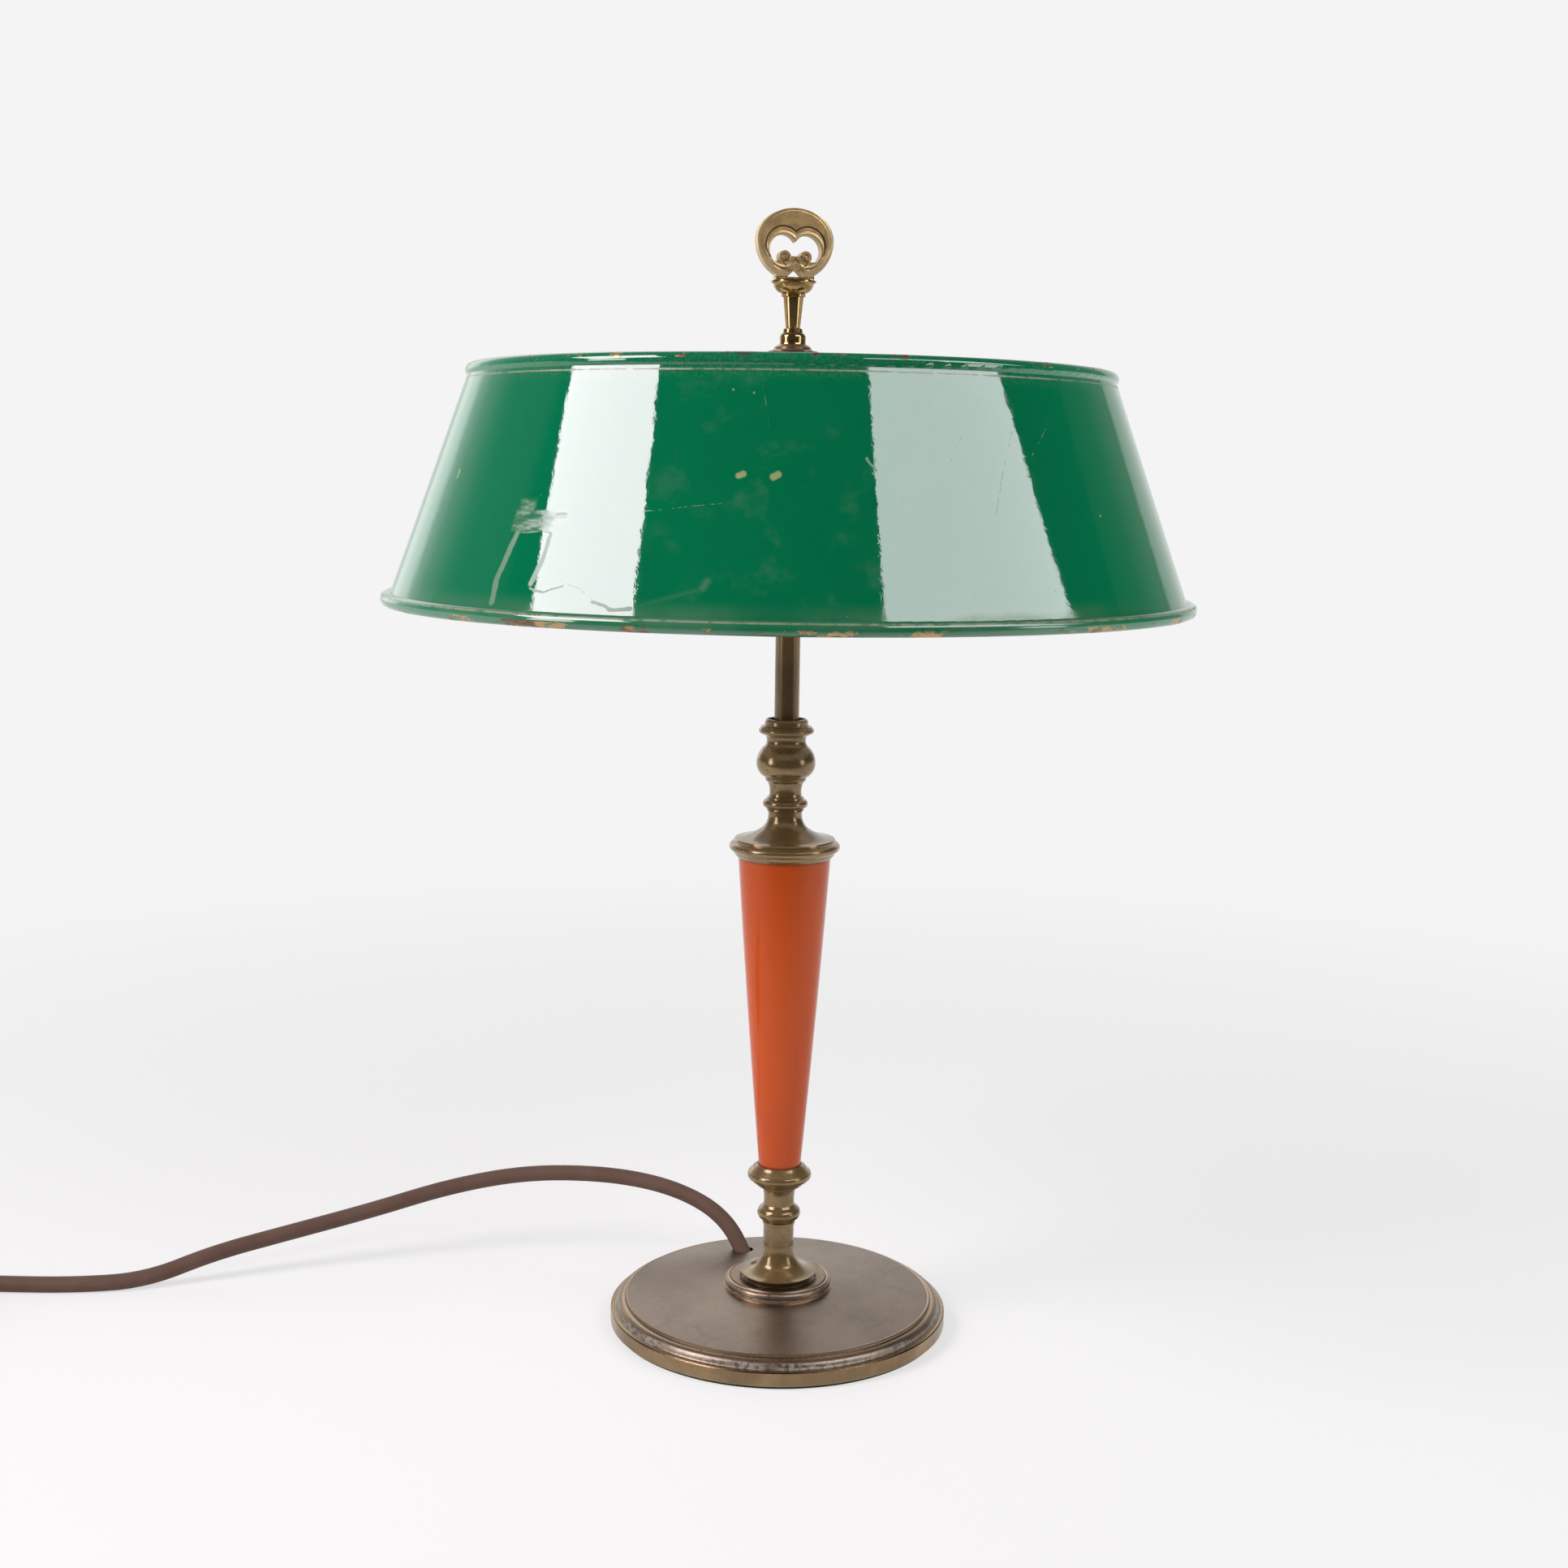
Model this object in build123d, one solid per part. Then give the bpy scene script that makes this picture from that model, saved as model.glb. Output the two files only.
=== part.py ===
from build123d import *
import math
import os

# A bouillotte table lamp, in millimetres. The origin is the middle of the felt pad's underside, on the
# axis of the column, +Z is up and -Y is the front. The column's pieces stack on one threaded tube.

# Fits
fit = 0.05  # radial clearance of a piece on its tube, and of a pivot in its bore
face_gap = 0.2  # between faces that turn on each other

# Threaded tube and base
tube_rad = 5.0
tube_bore_rad = 3.5
base_rad = 80.0
felt_inset = 2.0
felt_thick = 1.6
rim_height = 6.6
moulding_height = 5.4
disc_rad = 72.4
disc_rise = 4.1
plate_thick = 2.5
rim_wall = 3.4
ring_rad = 25.7
ring_height = 4.7
recess_rad = 17.8
recess_depth = 1.4
boss_rad = 20.0
weight_rad = 66.0
weight_thick = 7.0
weight_lift = 2.4
weight_gap = 1.0
nut_recess_rad = 15.0
nut_across = 17.0
nut_height = 3.2
nut_lift = 0.1
washer_rad = 13.0
washer_thick = 1.2

# Cord, its bush and the hole in the base plate
cord_dia = 7.9
hole_x = -17.75
hole_y = 49.6
hole_rad = 5.15
bush_rad = 7.5
bush_x = -15.2
bush_y = 47.4
slot_width = 8.0
slot_depth = 3.5
wire_dia = 2.0
wire_bend = 1.5
wire_pitch = 2.3

# Column
spacer_rad = 15.5
spacer_height = 4.0
foot_rad = 18.4
foot_height = 25.0
stem_rad = 7.25
knop_height = 17.4
knop_rad = 10.5
cup_height = 10.4
cup_rad = 15.2
cone_seat_depth = 3.8
cone_foot_rad = 9.65
cone_head_rad = 21.65
cone_length = 154.2
cone_wall = 1.5
cone_swell = 0.4
capital_lip = 1.6
capital_height = 21.4
capital_rad = 25.75
neck_rad = 7.85
upper_knop_height = 15.6
upper_knop_rad = 10.5
baluster_height = 19.6
baluster_rad = 13.7
rod_cup_height = 7.7
rod_cup_rad = 12.9
rod_seat_depth = 4.4

# Rod and light cluster
sleeve_rad = 5.72
sleeve_length = 99.5
cluster_rad = 16.0
cluster_height = 19.0
cluster_wall = 2.5
lamps_lift = 12.0
cover_height = 4.0
upper_sleeve_length = 38.6
seat_rad = 9.0
seat_height = 4.4
stud_tip_rad = 3.0
stud_depth = 2.0
stud_tip_gap = 0.6

# Lampholders, one each side of the cluster: distances along the holder's axis start at the column's axis
nipple_start = 12.5
nipple_end = 26.0
holder_start = 20.0
holder_rad = 19.0
holder_skirt = 36.0
shell_rad = 20.0
shell_start = 32.0
shell_end = 62.0
holder_wall = 0.95
dome_length = 9.0
insulator_start = 29.5
insulator_end = 43.0
thread_rad = 13.5
thread_wall = 0.7
thread_end = 61.0
contact_length = 3.0
bulb_cap_rad = 13.2
bulb_cap_length = 24.0
bulb_cap_wall = 0.6
bulb_wall = 1.2
bulb_rad = 22.5
bulb_centre = 93.0
lead_spread = 1.3
lead_start = 6.0
block_length = 12.0
block_width = 9.0
block_drop = 1.0
switch_x = 39.0
switch_pocket = 10.0
switch_shaft_rad = 2.0
switch_blade_width = 11.0
switch_blade_height = 11.0
switch_blade_thick = 2.2

# Shade and what carries it
bead_rad = 3.1
sheet = 0.9
top_bead_rad = 142.5
bottom_bead_rad = 180.4
shade_height = 99.9
shade_drop = 6.6
crease_out = 2.4
crease_in = 1.3
hub_rad = 11.6
hub_height = 4.3
hub_flange = 2.4
arm_count = 3
arm_width = 9.0
arm_thick = 2.0
arm_root = 9.0

# Clamp washer and key finial
clamp_rad = 11.4
clamp_height = 3.2
key_gap = 0.1
neck_height = 2.0
bell_rad = 6.1
bell_height = 5.4
key_stem_length = 13.7
key_stem_rad = 3.3
key_cup_rad = 10.2
key_cup_height = 7.9
thread_depth = 4.6
loop_half_width = 17.75
loop_top_height = 13.9
loop_foot_height = 17.5
loop_rise = 16.5
loop_thick = 4.7
loop_turn = 18.0
lobe_rad = 6.6
lobe_spread = 5.6
lobe_drop = 4.3
groove_rad = 8.4
groove_drop = 2.3
groove_width = 0.5
groove_depth = 0.4
volute_rad = 2.7
volute_spread = 4.9
volute_drop = 7.3
shelf_half_width = 6.6
shelf_drop = 7.0
sill_drop = 9.3
leg_half_width = 8.9
leg_height = 1.7
leg_gap = 4.3
leg_gap_height = 4.0

# Coil, ties and plug
coil_x = -436.0
coil_y = -36.0
coil_turn_rad = 54.0
coil_turns_low = 3
coil_turns_high = 2
tie_thick = 0.6
tie_width = 8.0
tie_angles = (135.0, 315.0)
plug_x = coil_x - coil_turn_rad + cord_dia
plug_start_y = -90.0
plug_rad = 18.5
plug_length = 36.0
boot_length = 20.0
boot_rad = 7.5
pin_rad = 2.4
pin_length = 19.0
pin_spacing = 19.0
clip_width = 7.0
clip_thick = 0.8
clip_recess = 1.6
clip_end_gap = 4.0

# Heights of the stack, each from the one below
z_felt = felt_thick
z_rim = z_felt + rim_height
z_disc = z_rim + moulding_height
z_ring = z_disc + disc_rise
z_ring_top = z_ring + ring_height
z_spacer = z_ring_top - recess_depth
z_weight = z_felt + weight_lift
z_boss = z_weight + weight_thick
z_nut = z_weight + nut_lift
z_washer = z_nut + nut_height
z_foot = z_spacer + spacer_height
z_knop = z_foot + foot_height
z_cup = z_knop + knop_height
z_cone = z_cup + cup_height - cone_seat_depth
z_cone_top = z_cone + cone_length
z_capital = z_cone_top - capital_lip
z_upper_knop = z_capital + capital_height
z_baluster = z_upper_knop + upper_knop_height
z_rod_cup = z_baluster + baluster_height
z_sleeve = z_rod_cup + rod_cup_height - rod_seat_depth
z_cluster = z_sleeve + sleeve_length
z_cover = z_cluster + cluster_height
z_lamps = z_cluster + lamps_lift
z_upper_sleeve = z_cover + cover_height
z_seat = z_upper_sleeve + upper_sleeve_length
z_hub = z_seat + seat_height + face_gap
z_clamp = z_hub + hub_height + face_gap
z_key = z_clamp + clamp_height + key_gap
z_key_stem = z_key + bell_height + neck_height
z_key_cup = z_key_stem + key_stem_length
z_key_top = z_key_cup + key_cup_height
z_loop = z_key_top + loop_rise
z_top_bead = z_hub - shade_drop
z_bottom_bead = z_top_bead - shade_height

cord_rad = cord_dia / 2
wire_rad = wire_dia / 2
bore = tube_rad + fit
seated = (Align.CENTER, Align.CENTER, Align.MIN)

# The cord's route from its bush: up through the base plate, over in a long low arch, down to the table
# and along it to the coil. Its points are the corners of the route, which the arcs round off.
cord_route = [
    (-13.9, 46.3, 4.0),
    (-18.5, 50.0, 17.0),
    (-28.0, 57.5, 29.0),
    (-43.0, 66.0, 36.5),
    (-65.0, 75.5, 41.0),
    (-94.0, 83.0, 42.5),
    (-132.0, 86.5, 41.0),
    (-170.0, 78.0, 36.0),
    (-209.0, 66.0, 26.5),
    (-249.0, 52.0, 19.0),
    (-282.0, 38.0, 13.5),
    (-312.0, 25.0, 4.0),
    (-345.0, 17.5, 4.0),
    (-382.0, 17.5, 4.0),
    (-418.0, 18.0, 4.5),
]
# From the coil's upper layer to the plug's boot
tail_route = [
    (plug_x, -46.0, 12.4),
    (plug_x, -60.0, 12.5),
    (plug_x, -78.0, 18.4),
    (plug_x, -94.0, 18.5),
]


def outline(start, *steps):
    """A closed face from a start point and steps: (x, y) is a straight line, (x, y, bulge) an arc that
    stands off its chord by the bulge, to the right of the way it runs."""
    edges = []
    here = start
    for step in steps:
        there = (step[0], step[1])
        if len(step) == 3:
            edges.append(SagittaArc(here, there, -step[2]))
        else:
            edges.append(Line(here, there))
        here = there
    if here != start:
        edges.append(Line(here, start))
    return make_face(edges)


def turned(start, *steps):
    """A piece turned on the lamp's axis, from its outline in radius and height."""
    return revolve(Plane.XZ * outline(start, *steps), Axis.Z)


def tube(outer, inner, bottom, height):
    """A plain tube on the lamp's axis."""
    return turned((inner, bottom), (outer, bottom), (outer, bottom + height), (inner, bottom + height))


def rod(radius, bottom, height):
    """A plain rod on the lamp's axis."""
    return Pos(0, 0, bottom) * Cylinder(radius, height, align=seated)


def hex_nut(bottom):
    """A hexagon nut on the threaded tube."""
    hexagon = RegularPolygon(nut_across / 2, 6, major_radius=False)
    return Pos(0, 0, bottom) * extrude(hexagon, nut_height) - rod(bore, bottom, nut_height)


def bend_radii(points):
    """The radius of the arc at each inner corner of a route."""
    radii = []
    for before, corner, after in zip(points, points[1:], points[2:]):
        run_in = Vector(*corner) - Vector(*before)
        run_out = Vector(*after) - Vector(*corner)
        half_turn = math.radians(run_in.get_angle(run_out)) / 2
        radii.append(0.45 * min(run_in.length, run_out.length) / math.tan(half_turn))
    return radii


def round_tube(points, radius, radii):
    """A round tube along straight runs joined by tangent arcs."""
    path = FilletPolyline(*points, radius=radii)
    start = Plane(origin=path @ 0, z_dir=path % 0)
    return sweep(start * Circle(radius), path=path)


def cord_tube(name, points):
    """A length of cord, with its bends printed."""
    radii = bend_radii(points)
    solid = round_tube(points, cord_rad, radii)
    length = FilletPolyline(*points, radius=radii).length
    share = solid.volume / (length * math.pi * cord_rad**2)
    print(name, "length %.1f, volume %.4f of section x length, radii" % (length, share), end=" ")
    print([round(radius, 1) for radius in radii])
    return solid


# Base


def make_felt_pad():
    return rod(base_rad - felt_inset, 0, felt_thick)


def make_base_plate():
    slope = disc_rise / (disc_rad - ring_rad)
    under_ring = z_ring + (ring_rad - boss_rad) * slope - plate_thick
    inner = base_rad - rim_wall
    plate = turned(
        (bore, z_boss),
        (boss_rad, z_boss),
        (boss_rad, under_ring),
        (disc_rad - 1.5, z_disc - plate_thick),
        (inner, z_rim - 1.0, 0.8),
        (inner, z_felt),
        (base_rad - 0.4, z_felt),
        (base_rad, z_felt + 0.4),
        (base_rad, z_rim - 0.4),
        (base_rad - 0.4, z_rim),
        (base_rad - 1.5, z_rim),
        (base_rad - 1.9, z_rim + 0.1),
        (disc_rad + 4.9, z_rim + 0.9, -0.15),
        (disc_rad + 1.6, z_disc - 1.5, 0.9),
        (disc_rad + 1.1, z_disc - 1.2),
        (disc_rad + 0.6, z_disc - 1.2),
        (disc_rad + 0.4, z_disc - 0.3),
        (disc_rad, z_disc),
        (disc_rad - 0.6, z_disc - 0.1),
        (ring_rad, z_ring),
        (ring_rad - 0.1, z_ring + 0.6),
        (ring_rad - 0.6, z_ring + 1.0),
        (ring_rad - 0.7, z_ring + 1.6),
        (ring_rad - 0.3, z_ring + 2.0),
        (ring_rad - 2.3, z_ring_top - 0.2, 0.75),
        (ring_rad - 2.8, z_ring_top - 0.5),
        (ring_rad - 3.1, z_ring_top),
        (recess_rad + 0.4, z_ring_top),
        (recess_rad, z_ring_top - 0.3),
        (recess_rad, z_spacer),
        (bore, z_spacer),
    )
    return plate - Pos(hole_x, hole_y, z_boss) * Cylinder(hole_rad, z_ring, align=seated)


def make_cord_bush():
    """A block under the hole that grips the cord."""
    bush = Pos(bush_x, bush_y, z_weight) * Cylinder(bush_rad, weight_thick, align=seated)
    first = Vector(*cord_route[0])
    way = Vector(*cord_route[1]) - first
    return bush - Plane(origin=first, z_dir=way) * Cylinder(cord_rad, 4 * weight_thick)


def make_base_weight():
    weight = tube(weight_rad, tube_rad + weight_gap, z_weight, weight_thick)
    recess = rod(nut_recess_rad, z_weight, z_washer + washer_thick - z_weight)
    bush_hole = Pos(bush_x, bush_y, z_weight) * Cylinder(bush_rad + fit, weight_thick, align=seated)
    reach = math.hypot(bush_x, bush_y)
    heading = math.degrees(math.atan2(bush_y, bush_x))
    slot = Pos(reach / 2, 0, z_weight) * Box(reach, slot_width, slot_depth, align=seated)
    return weight - recess - bush_hole - Rot(0, 0, heading) * slot


# Column


def make_tie_tube():
    top = z_cluster + cluster_wall + nut_height + 1.0
    return tube(tube_rad, tube_bore_rad, z_nut, top - z_nut)


def make_foot_spacer():
    return tube(spacer_rad, bore, z_spacer, spacer_height)


def make_foot_stem():
    top = z_foot + foot_height
    return turned(
        (bore, z_foot),
        (foot_rad - 1.8, z_foot),
        (foot_rad - 0.8, z_foot - 0.5),
        (foot_rad, z_foot - 0.2),
        (foot_rad, z_foot + 0.2),
        (stem_rad + 2.35, z_foot + 4.5, -1.2),
        (stem_rad, z_foot + 13.0, -0.55),
        (stem_rad, top - 1.7),
        (stem_rad + 0.5, top - 1.4),
        (stem_rad + 0.5, top - 0.4),
        (stem_rad + 0.1, top),
        (bore, top),
    )


def make_lower_knop():
    top = z_knop + knop_height
    return turned(
        (bore, z_knop),
        (stem_rad + 0.45, z_knop),
        (knop_rad - 1.8, z_knop + 0.9),
        (knop_rad - 1.2, z_knop + 6.2, 1.25),
        (knop_rad - 2.5, z_knop + 7.2),
        (stem_rad + 0.1, z_knop + 8.2),
        (stem_rad + 0.6, top - 1.8, -0.35),
        (stem_rad + 1.5, top - 0.8),
        (stem_rad + 1.6, top),
        (bore, top),
    )


def cone_radius(height):
    """The radius of the tapered section at a height above its foot."""
    return cone_foot_rad + (cone_head_rad - cone_foot_rad) * height / cone_length


def make_column_cup():
    top = z_cup + cup_height
    lip = cone_radius(cone_seat_depth) + 0.3
    return turned(
        (bore, z_cup),
        (cup_rad - 4.8, z_cup),
        (cup_rad - 3.8, z_cup + 0.8),
        (cup_rad - 0.6, z_cup + 3.6),
        (cup_rad - 0.5, z_cup + 6.9, 0.55),
        (cup_rad - 1.0, z_cup + 7.2),
        (cup_rad - 2.9, top - 1.2),
        (cup_rad - 3.1, top - 1.4),
        (lip + 0.9, top - 0.2),
        (lip + 0.6, top),
        (lip, top),
        (cone_foot_rad + 0.3, z_cone),
        (bore, z_cone),
    )


def make_column_cone():
    return turned(
        (cone_foot_rad - cone_wall, z_cone),
        (cone_foot_rad, z_cone),
        (cone_head_rad, z_cone_top, cone_swell),
        (cone_head_rad - cone_wall, z_cone_top),
        (cone_foot_rad - cone_wall, z_cone, -cone_swell),
    )


def make_capital():
    top = z_capital + capital_height
    lip = cone_head_rad + 0.15
    return turned(
        (bore, z_cone_top),
        (lip, z_cone_top),
        (lip, z_capital),
        (lip + 0.5, z_capital),
        (capital_rad - 2.5, z_capital + 1.2),
        (capital_rad - 1.9, z_capital + 2.4),
        (capital_rad - 1.4, z_capital + 2.8),
        (capital_rad - 1.3, z_capital + 6.7, 1.35),
        (capital_rad - 2.1, z_capital + 7.0),
        (capital_rad - 2.2, z_capital + 7.9),
        (capital_rad - 2.5, z_capital + 8.5),
        (capital_rad - 3.2, z_capital + 8.6),
        (neck_rad + 3.45, z_capital + 12.9, -0.7),
        (neck_rad, z_capital + 19.4, -0.85),
        (neck_rad, top),
        (bore, top),
    )


def make_upper_knop():
    top = z_upper_knop + upper_knop_height
    return turned(
        (bore, z_upper_knop),
        (neck_rad + 0.4, z_upper_knop),
        (neck_rad + 0.8, z_upper_knop + 0.5),
        (neck_rad + 0.6, z_upper_knop + 1.2),
        (upper_knop_rad - 1.2, z_upper_knop + 1.6),
        (upper_knop_rad - 1.0, z_upper_knop + 5.3, 1.05),
        (upper_knop_rad - 1.9, z_upper_knop + 5.7),
        (upper_knop_rad - 2.0, z_upper_knop + 6.5),
        (neck_rad - 0.25, z_upper_knop + 7.0),
        (neck_rad + 0.4, top - 2.2, -0.5),
        (neck_rad + 1.5, top - 1.2),
        (neck_rad + 1.6, top),
        (bore, top),
    )


def make_baluster():
    top = z_baluster + baluster_height
    return turned(
        (bore, z_baluster),
        (baluster_rad - 4.5, z_baluster),
        (baluster_rad, z_baluster + 7.2, 1.35),
        (baluster_rad - 3.8, z_baluster + 14.8, 0.95),
        (baluster_rad - 4.4, z_baluster + 16.0),
        (baluster_rad - 4.2, top - 0.3, -0.35),
        (baluster_rad - 3.9, top),
        (bore, top),
    )


def make_rod_cup():
    top = z_rod_cup + rod_cup_height
    return turned(
        (bore, z_rod_cup),
        (rod_cup_rad - 3.1, z_rod_cup),
        (rod_cup_rad - 1.3, z_rod_cup + 1.0),
        (rod_cup_rad - 0.5, z_rod_cup + 3.2, 0.75),
        (rod_cup_rad - 1.3, z_rod_cup + 4.3),
        (rod_cup_rad - 2.8, z_rod_cup + 5.0, -0.3),
        (rod_cup_rad - 2.9, top - 1.1),
        (rod_cup_rad - 3.5, top),
        (rod_cup_rad - 4.3, top),
        (rod_cup_rad - 4.6, top - 2.0),
        (sleeve_rad + fit, top - 2.2),
        (sleeve_rad + fit, z_sleeve),
        (bore, z_sleeve),
    )


# Light cluster


def make_cluster_body():
    inner = cluster_rad - cluster_wall
    body = turned(
        (bore, z_cluster),
        (sleeve_rad + 3.0, z_cluster),
        (cluster_rad, z_cluster + 6.0, 1.2),
        (cluster_rad, z_cover),
        (inner, z_cover),
        (inner, z_cluster + cluster_wall),
        (bore, z_cluster + cluster_wall),
    )
    return body - Pos(0, 0, z_lamps) * Rot(0, 90, 0) * Cylinder(bore, 3 * cluster_rad)


def make_cluster_cover():
    inner = cluster_rad - cluster_wall - fit
    return turned(
        (tube_rad, z_cover - 1.5),
        (inner, z_cover - 1.5),
        (inner, z_cover),
        (cluster_rad, z_cover),
        (cluster_rad, z_cover + 0.8),
        (sleeve_rad + 2.0, z_upper_sleeve, 1.0),
        (tube_rad, z_upper_sleeve),
    )


def make_top_stud():
    bottom = z_cover - stud_depth
    shoulder = z_hub + hub_height
    tip = z_key + thread_depth - stud_tip_gap
    return rod(tube_rad, bottom, shoulder - bottom) + rod(stud_tip_rad, shoulder, tip - shoulder)


def make_terminal_block():
    """The block that joins the supply to the leads, held under the stud."""
    bottom = z_lamps - block_drop
    return Pos(0, 0, bottom) * Box(block_length, block_width, z_cover - stud_depth - bottom, align=seated)


def make_arm_nipples():
    length = nipple_end - nipple_start
    nipple = Cylinder(tube_rad, length) - Cylinder(tube_bore_rad, length)
    nipple = Pos((nipple_start + nipple_end) / 2, 0, z_lamps) * Rot(0, 90, 0) * nipple
    return [nipple, mirror(nipple, about=Plane.YZ)]


def along_holder(start, *steps):
    """A piece turned on a lampholder's axis, from its outline in distance and radius."""
    return Pos(0, 0, z_lamps) * revolve(outline(start, *steps), Axis.X)


def shaft_hole():
    """The bore for a switch key's shaft, straight up from below the lampholder."""
    top = z_lamps - switch_pocket
    bottom = z_lamps - shell_rad - 1.0
    return Pos(switch_x, 0, bottom) * Cylinder(switch_shaft_rad + fit, top - bottom, align=seated)


def make_holder_cap():
    inner = holder_rad - holder_wall
    dome_end = holder_start + dome_length
    return along_holder(
        (holder_start, bore),
        (nipple_end - 1.0, bore),
        (nipple_end - 1.0, bore + 3.0),
        (holder_start + 2.2, bore + 3.0),
        (dome_end, inner, -2.0),
        (holder_skirt, inner),
        (holder_skirt, holder_rad),
        (dome_end, holder_rad),
        (holder_start, bore + 4.0, 2.2),
    )


def make_holder_shell():
    inner = holder_rad + fit
    shell = along_holder(
        (shell_start, inner),
        (shell_end, inner),
        (shell_end, shell_rad + 0.6),
        (shell_end - 1.5, shell_rad + 0.6),
        (shell_end - 1.5, shell_rad),
        (shell_start, shell_rad),
    )
    return shell - shaft_hole()


def make_insulator():
    outer = holder_rad - holder_wall - fit
    body = along_holder(
        (insulator_start, 0),
        (insulator_end, 0),
        (insulator_end, holder_rad),
        (holder_skirt, holder_rad),
        (holder_skirt, outer),
        (insulator_start, outer),
    )
    return body - shaft_hole()


def make_thread_shell():
    outer = thread_rad + thread_wall
    return along_holder(
        (insulator_end, thread_rad), (thread_end, thread_rad), (thread_end, outer), (insulator_end, outer)
    )


def make_centre_contact():
    return Pos(insulator_end + contact_length / 2, 0, z_lamps) * Box(contact_length, 7.0, 4.0)


def make_bulb_cap():
    tip = insulator_end + contact_length
    end = tip + bulb_cap_length
    inner = bulb_cap_rad - bulb_cap_wall
    return along_holder(
        (tip, 0),
        (tip, 4.5),
        (tip + 1.5, 4.8),
        (tip + 4.0, bulb_cap_rad),
        (end, bulb_cap_rad),
        (end, inner),
        (tip + 5.0, inner),
        (tip + 2.5, 4.0),
        (tip + 2.5, 0),
    )


def make_bulb_glass():
    neck = insulator_end + contact_length + bulb_cap_length
    join = bulb_centre - math.sqrt(bulb_rad**2 - bulb_cap_rad**2) + 2.0
    join_rad = math.sqrt(bulb_rad**2 - (bulb_centre - join) ** 2)
    front = bulb_centre + bulb_rad
    half = math.hypot(front - join, join_rad) / 2
    rise = bulb_rad - math.sqrt(bulb_rad**2 - half**2)
    bulb = along_holder((neck, 0), (neck, bulb_cap_rad), (join, join_rad), (front, 0, -rise))
    return bulb - Pos(bulb_centre, 0, z_lamps) * Sphere(bulb_rad - bulb_wall)


def make_switch_key():
    """The small flat key under a lampholder that turns its switch."""
    top = z_lamps - switch_pocket - 0.5
    blade_top = z_lamps - shell_rad - 3.0
    shaft = Pos(switch_x, 0, blade_top) * Cylinder(switch_shaft_rad, top - blade_top, align=seated)
    blade = Box(switch_blade_width, switch_blade_thick, switch_blade_height)
    blade = fillet(blade.edges().filter_by(Axis.Y), switch_blade_width / 4)
    return shaft + Pos(switch_x, 0, blade_top - switch_blade_height / 2 + 0.5) * blade


def both_sides(name, piece):
    """A lampholder's piece on the +X side and its mirror image on the -X side."""
    parts[name + "_right"] = piece
    parts[name + "_left"] = mirror(piece, about=Plane.YZ)


# Shade


def make_shade():
    top = Vector(top_bead_rad + crease_out, z_top_bead - crease_out, 0)
    bottom = Vector(bottom_bead_rad - crease_in, z_bottom_bead + bead_rad - 0.4, 0)
    way = (bottom - top).normalized()
    inward = Vector(way.Y, -way.X, 0) * sheet
    start = top - way * 1.2
    end = bottom + way * 1.6
    top_bead = Pos(top_bead_rad, z_top_bead)
    bottom_bead = Pos(bottom_bead_rad, z_bottom_bead)
    section = Polygon(start, start + inward, end + inward, end, align=None)
    section += top_bead * Circle(bead_rad)
    section += bottom_bead * Circle(bead_rad)
    section -= top_bead * Circle(bead_rad - sheet)
    section -= bottom_bead * Circle(bead_rad - sheet)
    return revolve(Plane.XZ * section, Axis.Z)


def make_rim_wire(radius, height):
    return Pos(0, 0, height) * Torus(radius, bead_rad - sheet - fit)


def make_spider_arms():
    """Straps from slots in the hub out to the shade's upper bead, where they are soldered."""
    root = z_hub + hub_flange / 2
    span = top_bead_rad - arm_root
    drop = root - z_top_bead
    strap = Box(math.hypot(span, drop), arm_width, arm_thick)
    tilt = math.degrees(math.atan2(drop, span))
    strap = Pos(arm_root + span / 2, 0, root - drop / 2) * Rot(0, tilt, 0) * strap
    strap -= Pos(0, 0, z_top_bead) * Torus(top_bead_rad, bead_rad)
    return [Rot(0, 0, 90 + 360 * number / arm_count) * strap for number in range(arm_count)]


def make_spider_hub():
    top = z_hub + hub_height
    hub = turned(
        (bore, z_hub),
        (hub_rad - 0.4, z_hub),
        (hub_rad, z_hub + 0.4),
        (hub_rad, z_hub + hub_flange - 0.4),
        (hub_rad - 0.4, z_hub + hub_flange),
        (hub_rad - 3.0, top, -0.4),
        (bore, top),
    )
    for arm in make_spider_arms():
        hub -= arm
    return hub


# Finial


def make_clamp_washer():
    top = z_clamp + clamp_height
    return turned(
        (stud_tip_rad + fit, z_clamp),
        (clamp_rad, z_clamp),
        (clamp_rad, z_clamp + 0.25),
        (clamp_rad - 2.7, z_clamp + 1.1, -0.35),
        (clamp_rad - 3.2, z_clamp + 2.1),
        (clamp_rad - 4.2, z_clamp + 2.8),
        (bell_rad + 0.5, top),
        (stud_tip_rad + fit, top),
    )


def two_lobes(radius, spread, drop):
    """Two overlapping discs side by side, on the key loop's face."""
    lobes = Pos(-spread, z_loop - drop) * Circle(radius)
    return lobes + Pos(spread, z_loop - drop) * Circle(radius)


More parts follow.
